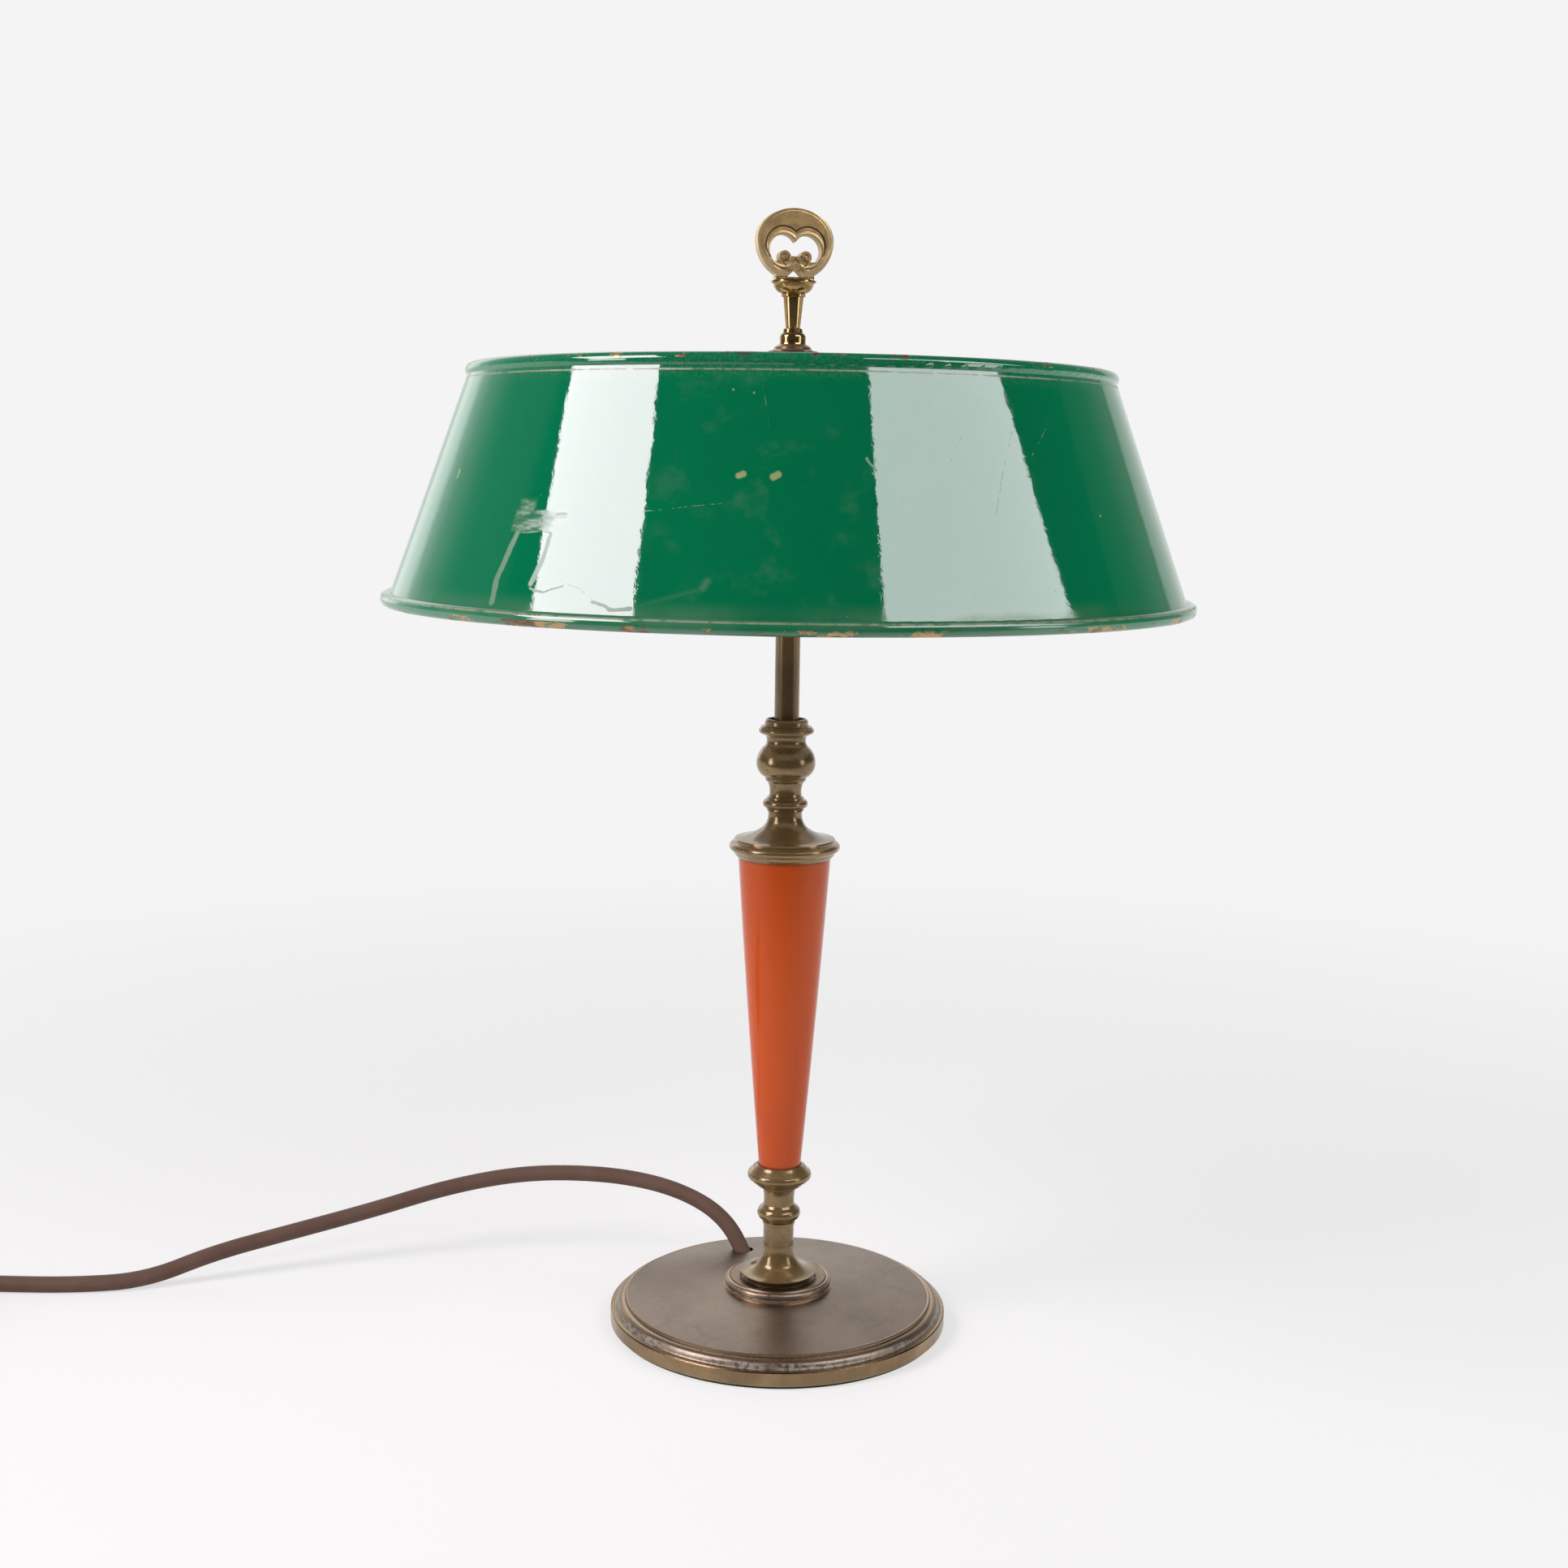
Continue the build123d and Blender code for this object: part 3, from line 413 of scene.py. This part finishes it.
def base_brass():
    """The base: a dull mauve brown top, and golden brass on its mouldings, rubbed bright at their lips, where
    the bright bands are also a painted highlight.
    """
    paint = Paint("base_brass")
    cloud = paint.noise(26.0, 20.0, 4.0, 0.6)
    fine = paint.noise(1.4, 21.0, 3.0, 0.6)
    lines = paint.noise(3.0, 22.0, 3.0, 0.7, stretch=(0.25, 0.25, 7.0))
    rings = paint.noise(2.2, 23.0, 2.0, 0.6)
    top = paint.mix(paint.step(cloud, 0.35, 0.70), (0.305, 0.238, 0.187), (0.250, 0.195, 0.155))
    water = paint.node("ShaderNodeTexVoronoi", feature="DISTANCE_TO_EDGE")
    warp = paint.spread(paint.noise(12.0, 24.0, 2.0), 12.0)
    paint.feed(water.inputs["Vector"], paint.vector("ADD", paint.place, warp))
    paint.feed(water.inputs["Scale"], 1.0 / 34.0)
    tide = paint.step(water.outputs[0], 0.0, 0.045, 1.0, 0.0)
    tide = paint.times(tide, paint.step(cloud, 0.45, 0.6, 0.0, 0.35))
    top = paint.mix(tide, top, (0.20, 0.158, 0.128))
    gold = paint.mix(paint.step(cloud, 0.30, 0.65), (0.36, 0.250, 0.138), (0.22, 0.150, 0.083))
    gold = paint.mix(paint.step(lines, 0.40, 0.75, 0.0, 0.2), gold, (0.14, 0.095, 0.055))
    face = paint.step(paint.radius, rim_edge, rim_edge + 0.4)
    moulded = paint.either(
        paint.band(paint.radius, disc_edge, rim_edge, 0.2),
        paint.band(paint.radius, *ring_from_to, 0.2),
    )
    colour = paint.mix(moulded, top, paint.mix(0.45, top, gold))
    colour = paint.mix(face, colour, gold)
    # Bright brass bands round the lips of the mouldings: partly rubbed wear, partly a painted highlight.
    rubbed_and_highlit = paint.either(
        paint.band(paint.radius, 71.9, 72.5, 0.15),
        paint.band(paint.radius, 73.4, 74.6, 0.3),
        paint.band(paint.radius, 78.4, 79.2, 0.2),
        paint.band(paint.radius, 23.2, 24.2, 0.3),
        paint.band(paint.radius, 25.4, 25.8, 0.15),
    )
    rubbed_and_highlit = paint.times(rubbed_and_highlit, paint.step(cloud, 0.3, 0.6, 0.3, 0.7))
    colour = paint.mix(rubbed_and_highlit, colour, (0.60, 0.42, 0.26))
    pits = paint.either(paint.specks(16.0, 0.8, 0.25, 25.0), paint.specks(6.0, 0.35, 0.2, 26.0))
    colour = paint.mix(paint.math("MULTIPLY", pits, 0.85), colour, (0.06, 0.045, 0.03))
    polish = paint.band(paint.radius, 76.4, 77.9, 0.35)
    polish = paint.times(polish, paint.step(cloud, 0.42, 0.6, 0.15, 0.75), paint.step(rings, 0.38, 0.58))
    joint = paint.times(paint.band(paint.radius, 24.6, 25.2, 0.2), paint.step(rings, 0.4, 0.6, 0.0, 0.5))
    dust = paint.either(
        paint.math("MULTIPLY", paint.specks(3.4, 0.30, 0.5, 27.0), 0.75),
        paint.math("MULTIPLY", paint.specks(1.7, 0.16, 0.4, 28.0), 0.5),
    )
    film = paint.either(polish, joint, dust)
    colour = paint.mix(film, colour, (0.50, 0.47, 0.42))
    rough = paint.step(fine, 0.3, 0.7, 0.34, 0.42)
    rough = paint.math("SUBTRACT", rough, paint.math("MULTIPLY", paint.either(rubbed_and_highlit, face), 0.14))
    normal = paint.bump(fine, 0.025)
    normal = paint.bump(paint.math("SUBTRACT", 1.0, pits), 0.10, normal)
    paint.set(Base_Color=colour, Metallic=paint.math("SUBTRACT", 1.0, film), Roughness=rough, Normal=normal)
    return paint.material


def green_lacquer():
    """The shade: glossy green outside with old glue, scratches and chipped rolled edges, and white inside."""
    paint = Paint("green_lacquer")
    cloud = paint.noise(60.0, 1.0, 4.0, 0.6)
    fine = paint.noise(4.0, 2.0, 3.0)
    grain = paint.noise(0.9, 3.0, 2.0)
    turn = paint.math("ARCTAN2", paint.x, paint.math("MULTIPLY", paint.y, -1.0))
    flat = paint.node("ShaderNodeCombineXYZ")
    paint.feed(flat.inputs[0], paint.math("MULTIPLY", turn, mark_radius))
    paint.feed(flat.inputs[1], paint.z)
    place = paint.vector("ADD", flat.outputs[0], paint.spread(paint.noise(5.0, 5.0, 2.0), 2.0))
    degrees = paint.math("MULTIPLY", turn, 180.0 / math.pi)

    around = paint.math("ABSOLUTE", degrees)
    # Painted light: both flanks are painted a lighter green, the right one more, for the side light that
    # falls on them.
    lit_flank_green = paint.mix(paint.step(degrees, -10.0, 10.0), (0.0006, 0.220, 0.093), (0.0008, 0.262, 0.102))
    green = paint.mix(paint.step(cloud, 0.3, 0.7), (0.0005, 0.182, 0.069), (0.0008, 0.196, 0.075))
    green = paint.mix(paint.band(around, 42.0, 130.0, 20.0), green, lit_flank_green)
    outside = paint.math("MULTIPLY_ADD", paint.z, -shade_slope, inner_radius + inner_level * shade_slope)
    inside = paint.step(paint.math("SUBTRACT", outside, paint.radius), 0.35, 0.55)

    where = paint.node("ShaderNodeSeparateXYZ")
    paint.feed(where.inputs[0], place)
    streaks = paint.noise(4.0, 13.0, 3.0, 0.6, stretch=(0.6, 0.6, 2.0))
    glue = paint.either(
        paint.patch(where.outputs, -114.0, -93.0, 378.8, 387.0, 0.7, 0.7),
        paint.patch(where.outputs, -113.0, -104.0, 384.0, 391.0, 1.0, 1.2),
        paint.patch(where.outputs, -94.0, -87.0, 383.5, 386.5, 1.2, 0.9),
    )
    glue = paint.times(glue, paint.step(streaks, 0.36, 0.70, 0.14, 0.50))
    runs = paint.either(
        paint.stroke(place, ((-110.4, 377.8), (-113.2, 367.3), (-115.1, 359.4), (-114.2, 351.0)), 2.7, 0.7),
        paint.stroke(place, ((-110.0, 378.4), (-94.0, 378.6)), 0.7, 0.5),
        paint.stroke(place, ((-93.5, 378.0), (-94.5, 368.0), (-97.4, 359.0)), 2.2, 1.2),
    )
    edges = paint.either(
        paint.stroke(place, ((-97.4, 357.0), (-91.0, 356.0), (-83.0, 358.6)), 0.9, 0.6),
        paint.stroke(place, ((-82.0, 359.7), (-76.0, 358.0), (-69.7, 354.1)), 0.35, 0.4),
        paint.stroke(place, ((-69.7, 353.0), (-62.0, 350.8), (-54.8, 351.4)), 1.5, 0.6),
        paint.stroke(place, ((-94.6, 354.0), (-94.4, 352.0)), 0.9, 0.4),
    )
    trail = paint.stroke(place, ((-54.0, 351.5), (-44.0, 355.0), (-30.0, 359.5)), 1.0, 2.4)
    smears = paint.either(
        paint.stroke(place, ((-29.6, 360.0), (-28.4, 362.4)), 2.0, 2.4),
        paint.math("MULTIPLY", trail, 0.5),
    )
    speckled = paint.stroke(place, ((80.0, 441.0), (93.0, 431.0)), 11.0, 5.0)
    speckled = paint.times(speckled, paint.step(grain, 0.5, 0.62))
    films = paint.either(
        glue,
        paint.math("MULTIPLY", runs, 0.40),
        paint.math("MULTIPLY", edges, 0.60),
        paint.math("MULTIPLY", smears, 0.25),
        paint.math("MULTIPLY", speckled, 0.12),
    )
    spots = paint.either(
        paint.stroke(place, ((-19.8, 401.6), (-18.2, 402.2)), 2.4, 1.0),
        paint.stroke(place, ((-6.6, 401.4), (-4.9, 402.2)), 2.6, 1.0),
        paint.stroke(place, ((-165.5, 399.2), (-165.1, 401.9)), 1.6, 1.2),
        paint.stroke(place, ((137.7, 387.7), (137.9, 387.8)), 1.0, 0.3),
    )
    scratches = paint.either(
        paint.stroke(place, ((-55.5, 387.6), (-40.5, 389.5), (-25.5, 391.2)), 0.22, 0.2),
        paint.stroke(place, ((95.9, 420.6), (87.4, 405.1), (80.2, 387.7)), 0.22, 0.2),
        paint.stroke(place, ((70.4, 417.8), (66.6, 412.5), (63.2, 407.2)), 0.22, 0.2),
        paint.stroke(place, ((118.0, 424.0), (104.0, 411.0)), 0.2, 0.2),
        paint.stroke(place, ((-12.0, 436.0), (-9.0, 421.0)), 0.2, 0.2),
        paint.stroke(place, ((29.3, 408.8), (32.9, 404.6)), 0.8, 0.5),
    )
    dust = paint.either(
        paint.math("MULTIPLY", paint.specks(11.0, 0.8, 0.9, 4.0), 0.8),
        paint.math("MULTIPLY", paint.specks(4.5, 0.42, 0.8, 9.0), 0.5),
    )
    lower_line = paint.band(paint.z, 347.3, 348.0, 0.25)
    upper_line = paint.band(paint.z, 441.6, 442.2, 0.3)
    soot = paint.times(paint.either(lower_line, upper_line), paint.step(fine, 0.35, 0.6, 0.25, 0.75))
    dulled = paint.either(
        paint.times(paint.step(paint.z, 356.0, 348.0), paint.step(cloud, 0.35, 0.7, 0.05, 0.26)),
        paint.times(paint.step(paint.z, 437.0, 441.5), paint.step(grain, 0.4, 0.7, 0.0, 0.14)),
    )
    handled = paint.step(paint.noise(13.0, 14.0, 4.0, 0.6), 0.52, 0.72, 0.0, 0.08)
    dulled = paint.either(dulled, paint.times(handled, paint.band(degrees, -20.0, 32.0, 12.0)))
    colour = paint.mix(paint.either(films, dulled), green, (0.30, 0.42, 0.30))
    colour = paint.mix(paint.math("MULTIPLY", scratches, 0.35), colour, (0.40, 0.50, 0.38))
    colour = paint.mix(paint.either(soot, dust), colour, (0.42, 0.36, 0.26))
    spot_colour = paint.mix(paint.step(fine, 0.4, 0.6), (0.33, 0.42, 0.16), (0.42, 0.36, 0.24))
    colour = paint.mix(spots, colour, spot_colour)

    lower_edge = paint.step(paint.z, *lower_edge_from_to)
    upper_edge = paint.times(paint.step(paint.z, *upper_edge_from_to), 0.9)
    nicks = paint.either(paint.band(degrees, -28.8, -26.6, 0.5), paint.band(degrees, 16.8, 18.0, 0.4))
    upper_edge = paint.math("MULTIPLY_ADD", nicks, paint.math("MULTIPLY", upper_edge, 0.16), upper_edge)
    worn = paint.step(paint.noise(34.0, 12.0, 1.0), 0.50, 0.62)
    worn = paint.times(worn, paint.step(paint.math("ABSOLUTE", degrees), 66.0, 72.0))
    for start, end in chipped_from_to:
        worn = paint.either(worn, paint.band(degrees, start, end, 0.9))
    patches = paint.noise(5.5, 6.0, 4.0, 0.7, stretch=(1.0, 1.0, 2.2))
    patches = paint.math("MULTIPLY_ADD", worn, 0.14, patches)
    chips = paint.step(paint.math("MULTIPLY", patches, paint.either(lower_edge, upper_edge)), 0.615, 0.635)
    tone = paint.noise(16.0, 7.0, 2.0)
    bare = paint.mix(paint.step(tone, 0.47, 0.53), (0.56, 0.36, 0.17), (0.24, 0.085, 0.050))
    colour = paint.mix(chips, colour, bare)
    scuff = paint.times(paint.band(degrees, -10.4, -4.4, 0.8), paint.band(paint.z, 446.4, 449.0, 0.4))
    scuff = paint.times(scuff, paint.step(fine, 0.42, 0.55, 0.0, 0.75))
    colour = paint.mix(scuff, colour, (0.035, 0.045, 0.035))
    colour = paint.mix(inside, colour, (0.78, 0.77, 0.72))

    dull = paint.either(films, dulled, soot, dust, paint.math("MULTIPLY", scratches, 0.8), spots, scuff)
    rough = paint.step(dull, 0.0, 0.6, 0.03, 0.42)
    rough = paint.either(rough, paint.math("MULTIPLY", paint.either(chips, inside), 0.36))
    normal = paint.bump(paint.noise(22.0, 8.0, 3.0, 0.5, stretch=(1.0, 1.0, 0.5)), 0.09)
    normal = paint.bump(paint.noise(8.0, 9.0, 4.0, 0.6), 0.045, normal)
    normal = paint.bump(paint.math("SUBTRACT", 1.0, chips), 0.08, normal)
    paint.set(Base_Color=colour, Roughness=rough, Normal=normal, IOR=1.8)
    paint.set(Metallic=paint.math("MULTIPLY", chips, 0.6))
    return paint.material


def orange_lacquer():
    """The column's tapered section."""
    paint = Paint("orange_lacquer")
    cloud = paint.noise(30.0, 1.0, 4.0, 0.6, stretch=(1.0, 1.0, 0.4))
    fine = paint.noise(2.0, 2.0, 3.0)
    colour = paint.mix(paint.step(cloud, 0.3, 0.75), (0.69, 0.092, 0.001), (0.63, 0.080, 0.001))
    flecks = paint.either(paint.specks(9.0, 0.5, 0.25, 3.0), paint.specks(4.0, 0.25, 0.25, 5.0))
    colour = paint.mix(paint.math("MULTIPLY", flecks, 0.6), colour, (0.75, 0.62, 0.45))
    edge = paint.either(paint.step(paint.z, 79.6, 78.2), paint.step(paint.z, 224.8, 226.6))
    colour = paint.mix(paint.math("MULTIPLY", edge, 0.5), colour, (0.16, 0.05, 0.02))
    normal = paint.bump(paint.noise(9.0, 4.0, 2.0), 0.012)
    paint.set(Base_Color=colour, Roughness=paint.step(fine, 0.3, 0.7, 0.11, 0.16), Normal=normal, IOR=1.42)
    return paint.material


def brown_flex():
    """Brown sheathed cable with a soft sheen and dusty rubs."""
    paint = Paint("brown_flex")
    cloud = paint.noise(22.0, 1.0, 4.0, 0.6)
    fine = paint.noise(1.2, 2.0, 3.0)
    colour = paint.mix(paint.step(cloud, 0.3, 0.7), (0.155, 0.093, 0.068), (0.190, 0.119, 0.090))
    dust = paint.math("MULTIPLY", paint.specks(4.0, 0.3, 0.3, 3.0), 0.4)
    colour = paint.mix(dust, colour, (0.35, 0.30, 0.26))
    normal = paint.bump(paint.noise(6.0, 4.0, 3.0), 0.05)
    normal = paint.bump(fine, 0.012, normal)
    paint.set(Base_Color=colour, Roughness=paint.step(fine, 0.3, 0.7, 0.58, 0.68), Normal=normal, IOR=1.32)
    return paint.material


def plain(name, first, second, rough, metal=0.0, size=6.0, relief=0.02):
    """A material of two near tones, for what the shade or the base hides."""
    paint = Paint(name)
    fine = paint.noise(size, 3.0, 4.0, 0.6)
    paint.set(Base_Color=paint.mix(paint.step(fine, 0.3, 0.7), first, second), Metallic=metal)
    paint.set(Roughness=paint.step(fine, 0.3, 0.7, rough, rough + 0.1), Normal=paint.bump(fine, relief))
    return paint.material


def dress_lamp():
    gold = (0.40, 0.275, 0.110)
    brown = (0.21, 0.138, 0.060)
    turned = aged_brass("turned_brass", gold, brown, 0.32, 0.13, metal=0.55, coat=0.3, seed=1.0)
    washer = aged_brass("washer_brass", (0.60, 0.42, 0.29), (0.32, 0.20, 0.14), 0.35, 0.18, seed=50.0)
    dark = aged_brass("dark_brass", (0.34, 0.225, 0.10), (0.17, 0.11, 0.055), 0.35, 0.14, 0.6, 0.2, seed=60.0)
    dress(turned, "foot_stem", "lower_knop", "column_cup", "capital", "upper_knop", "baluster", "rod_cup")
    dress(base_brass(), "base_plate")
    dress(finial_brass(), "key_finial")
    dress(washer, "clamp_washer")
    dress(dark, "rod_sleeve", "foot_spacer", "upper_sleeve")
    dress(turned, "cluster_body", "cluster_cover", "shade_seat", "arm_nipples", "spider_hub", "spider_arms")
    for side in ("left", "right"):
        dress(turned, "holder_cap_" + side, "holder_shell_" + side, "switch_key_" + side)
    dress(green_lacquer(), "shade")
    dress(orange_lacquer(), "column_cone")
    dress(plain("felt", (0.035, 0.075, 0.045), (0.05, 0.10, 0.06), 0.9, size=0.8, relief=0.3), "felt_pad")
    dress(plain("iron", (0.06, 0.06, 0.06), (0.10, 0.095, 0.09), 0.6, 0.9, relief=0.2), "base_weight")
    steel = plain("steel", (0.42, 0.42, 0.42), (0.55, 0.54, 0.52), 0.3, 1.0)
    dress(steel, "base_washer", "base_nut", "tie_tube", "cluster_nut", "top_stud")
    dress(steel, "upper_rim_wire", "lower_rim_wire")
    porcelain = plain("porcelain", (0.74, 0.71, 0.64), (0.80, 0.78, 0.72), 0.2)
    dress(porcelain, "terminal_block", "holder_insulator_left", "holder_insulator_right")
    plated = plain("plated_brass", (0.58, 0.54, 0.44), (0.66, 0.62, 0.52), 0.25, 1.0)
    dress(plated, "thread_shell_left", "thread_shell_right", "centre_contacts")
    dress(plated, "plug_pins", "plug_earth_clips")
    bulb_metal = plain("bulb_metal", (0.55, 0.55, 0.55), (0.62, 0.62, 0.62), 0.3, 1.0)
    dress(bulb_metal, "bulb_cap_left", "bulb_cap_right")
    opal = plain("opal_glass", (0.80, 0.79, 0.76), (0.84, 0.83, 0.80), 0.12)
    dress(opal, "bulb_glass_left", "bulb_glass_right")
    insulation = plain("insulation", (0.05, 0.03, 0.025), (0.08, 0.05, 0.04), 0.5)
    dress(insulation, "cord_bush", "cord_ties")
    dress(plain("brown_core", (0.10, 0.045, 0.02), (0.12, 0.055, 0.03), 0.45), "live_wire", "branch_leads")
    dress(plain("blue_core", (0.02, 0.10, 0.35), (0.03, 0.12, 0.40), 0.45), "neutral_wire")
    dress(plain("green_core", (0.10, 0.30, 0.05), (0.45, 0.45, 0.05), 0.45, size=3.0), "earth_wire")
    dress(plain("plug_plastic", (0.045, 0.028, 0.022), (0.06, 0.04, 0.032), 0.35), "plug_body")
    flex.data.materials.append(brown_flex())


dress_lamp()


# Studio

panel_distance = 1.6
shade_middle = Vector((0, 0, 0.35))


def add_panel(name, azimuth, elevation, corners, radiance):
    """A soft panel that faces the shade from a direction in degrees. Its corners are in metres across
    and up from its middle."""
    azimuth = math.radians(azimuth)
    elevation = math.radians(elevation)
    level = Vector((math.sin(azimuth), -math.cos(azimuth), 0))
    away = level * math.cos(elevation) + Vector((0, 0, math.sin(elevation)))
    across = Vector((0, 0, 1)).cross(away).normalized()
    up = away.cross(across)
    middle = shade_middle + away * panel_distance
    mesh = bpy.data.meshes.new(name)
    mesh.from_pydata([middle + across * x + up * y for x, y in corners], [], [(0, 1, 2, 3)])
    panel = bpy.data.objects.new(name, mesh)
    bpy.context.scene.collection.objects.link(panel)
    material = bpy.data.materials.new(name)
    material.use_nodes = True
    tree = material.node_tree
    glow = tree.nodes.new("ShaderNodeEmission")
    glow.inputs["Strength"].default_value = max(radiance)
    glow.inputs["Color"].default_value = (*(level / max(radiance) for level in radiance), 1)
    tree.links.new(glow.outputs[0], tree.nodes["Material Output"].inputs["Surface"])
    mesh.materials.append(material)
    panel.visible_camera = False


def add_world():
    """A white wall behind the lamp and a dark room in front of it, by how far a direction is to the back.
    On the wall's left stands a brighter screen."""
    world = bpy.data.worlds.new("studio")
    bpy.context.scene.world = world
    world.use_nodes = True
    tree = world.node_tree
    split = tree.nodes.new("ShaderNodeSeparateXYZ")
    tree.links.new(tree.nodes.new("ShaderNodeTexCoord").outputs["Generated"], split.inputs[0])
    sides = []
    for levels in (left_levels, right_levels):
        ramp = tree.nodes.new("ShaderNodeValToRGB")
        tree.links.new(split.outputs["Y"], ramp.inputs[0])
        stops = ramp.color_ramp.elements
        for number, (back, level) in enumerate(levels):
            stop = stops[number] if number < 2 else stops.new(back)
            stop.position = back
            stop.color = (level / screen_level, level / screen_level, level / screen_level, 1)
        sides.append(ramp.outputs[0])
    right = tree.nodes.new("ShaderNodeMapRange")
    right.inputs["From Min"].default_value = -0.1
    right.inputs["From Max"].default_value = 0.1
    tree.links.new(split.outputs["X"], right.inputs["Value"])
    both = tree.nodes.new("ShaderNodeMix")
    both.data_type = "RGBA"
    tree.links.new(right.outputs[0], both.inputs["Factor"])
    tree.links.new(sides[0], both.inputs[6])
    tree.links.new(sides[1], both.inputs[7])
    seen = tree.nodes.new("ShaderNodeMix")
    seen.data_type = "RGBA"
    tree.links.new(tree.nodes.new("ShaderNodeLightPath").outputs["Is Camera Ray"], seen.inputs["Factor"])
    tree.links.new(both.outputs[2], seen.inputs[6])
    seen.inputs[7].default_value = (*(3 * [backdrop / screen_level]), 1)
    tree.links.new(seen.outputs[2], tree.nodes["Background"].inputs["Color"])
    tree.nodes["Background"].inputs["Strength"].default_value = screen_level


def add_floor():
    """A pale table top that runs into the wall behind it and keeps the lamp's shadow. For reflections and
    refraction it ends in front of the lamp, so that shiny parts show a dark room there."""
    mesh = bpy.data.meshes.new("floor")
    far_out = floor_reach
    corners = [(-far_out, -far_out, 0), (far_out, -far_out, 0), (far_out, far_out, 0), (-far_out, far_out, 0)]
    mesh.from_pydata(corners, [], [(0, 1, 2, 3)])
    floor = bpy.data.objects.new("floor", mesh)
    bpy.context.scene.collection.objects.link(floor)
    material = bpy.data.materials.new("floor")
    material.use_nodes = True
    tree = material.node_tree
    bounce = tree.nodes["Principled BSDF"]
    bounce.inputs["Base Color"].default_value = (0.8, 0.8, 0.8, 1)
    bounce.inputs["Roughness"].default_value = 0.9
    distance = tree.nodes.new("ShaderNodeVectorMath")
    distance.operation = "LENGTH"
    tree.links.new(tree.nodes.new("ShaderNodeTexCoord").outputs["Object"], distance.inputs[0])
    far = tree.nodes.new("ShaderNodeMapRange")
    far.interpolation_type = "SMOOTHSTEP"
    far.inputs["From Min"].default_value = floor_fades_from
    far.inputs["From Max"].default_value = floor_fades_to
    tree.links.new(distance.outputs["Value"], far.inputs["Value"])
    shaded = tree.nodes.new("ShaderNodeBsdfDiffuse")
    shaded.inputs["Color"].default_value = (floor_shade, floor_shade, floor_shade, 1)
    near_glow = tree.nodes.new("ShaderNodeEmission")
    near_glow.inputs["Strength"].default_value = floor_glow
    far_glow = tree.nodes.new("ShaderNodeEmission")
    far_glow.inputs["Strength"].default_value = backdrop
    near = tree.nodes.new("ShaderNodeAddShader")
    tree.links.new(shaded.outputs[0], near.inputs[0])
    tree.links.new(near_glow.outputs[0], near.inputs[1])
    surface = tree.nodes.new("ShaderNodeMixShader")
    tree.links.new(far.outputs[0], surface.inputs[0])
    tree.links.new(near.outputs[0], surface.inputs[1])
    tree.links.new(far_glow.outputs[0], surface.inputs[2])
    place = tree.nodes.new("ShaderNodeSeparateXYZ")
    tree.links.new(tree.nodes.new("ShaderNodeTexCoord").outputs["Object"], place.inputs[0])
    edge = tree.nodes.new("ShaderNodeMapRange")
    edge.inputs["From Min"].default_value = table_ends_to
    edge.inputs["From Max"].default_value = table_ends_from
    tree.links.new(place.outputs["Y"], edge.inputs["Value"])
    dark_room = tree.nodes.new("ShaderNodeEmission")
    dark_room.inputs["Strength"].default_value = room_level
    table = tree.nodes.new("ShaderNodeMixShader")
    tree.links.new(dark_room.outputs[0], table.inputs[1])
    tree.links.new(surface.outputs[0], table.inputs[2])
    path = tree.nodes.new("ShaderNodeLightPath")
    seen = path.outputs["Is Camera Ray"]
    shown = tree.nodes.new("ShaderNodeMath")
    shown.operation = "MAXIMUM"
    tree.links.new(edge.outputs[0], shown.inputs[0])
    tree.links.new(seen, shown.inputs[1])
    tree.links.new(shown.outputs[0], table.inputs[0])
    for ray in ("Is Glossy Ray", "Is Transmission Ray"):
        either = tree.nodes.new("ShaderNodeMath")
        either.operation = "MAXIMUM"
        tree.links.new(seen, either.inputs[0])
        tree.links.new(path.outputs[ray], either.inputs[1])
        seen = either.outputs[0]
    choice = tree.nodes.new("ShaderNodeMixShader")
    tree.links.new(seen, choice.inputs[0])
    tree.links.new(bounce.outputs[0], choice.inputs[1])
    tree.links.new(table.outputs[0], choice.inputs[2])
    tree.links.new(choice.outputs[0], tree.nodes["Material Output"].inputs["Surface"])
    mesh.materials.append(material)


backdrop = 0.905
screen_level = 1.6
room_level = 0.012
left_levels = (
    (0.0, room_level),
    (0.08, 0.10),
    (0.36, 0.11),
    (0.46, 0.21),
    (0.62, 0.50),
    (0.72, 0.85),
    (0.765, 1.50),
    (0.87, screen_level),
    (0.905, 1.40),
    (0.918, backdrop),
    (1.0, backdrop),
)
right_levels = (
    (0.0, room_level),
    (0.30, 0.015),
    (0.33, 0.055),
    (0.50, 0.09),
    (0.68, 0.23),
    (0.735, 0.245),
    (0.76, 0.66),
    (0.85, 0.78),
    (0.918, backdrop),
    (1.0, backdrop),
)
floor_shade = 0.42
floor_glow = 0.60
floor_reach = 30.0
floor_fades_from = 0.15
floor_fades_to = 1.25
table_ends_from = -0.27
table_ends_to = -0.80
left_corners = ((-0.38, 0.01), (0.19, 0.52), (0.68, -0.06), (0.11, -0.56))
right_corners = ((-0.66, 0.42), (0.26, 0.28), (0.80, -0.33), (-0.84, -0.06))
add_panel("left_panel", -69.5, 33.0, left_corners, (9.6, 8.7, 9.3))
add_panel("right_panel", 58.5, 33.0, right_corners, (5.0, 5.0, 5.15))
low_corners = ((-0.20, -0.24), (-0.20, 0.26), (0.20, 0.26), (0.20, -0.24))
add_panel("low_left_panel", -62.0, 5.0, low_corners, (6.0, 5.8, 5.7))
add_panel("low_right_panel", 68.0, 5.0, low_corners, (3.6, 3.5, 3.5))
add_world()
add_floor()
bpy.context.scene.view_settings.view_transform = "Standard"
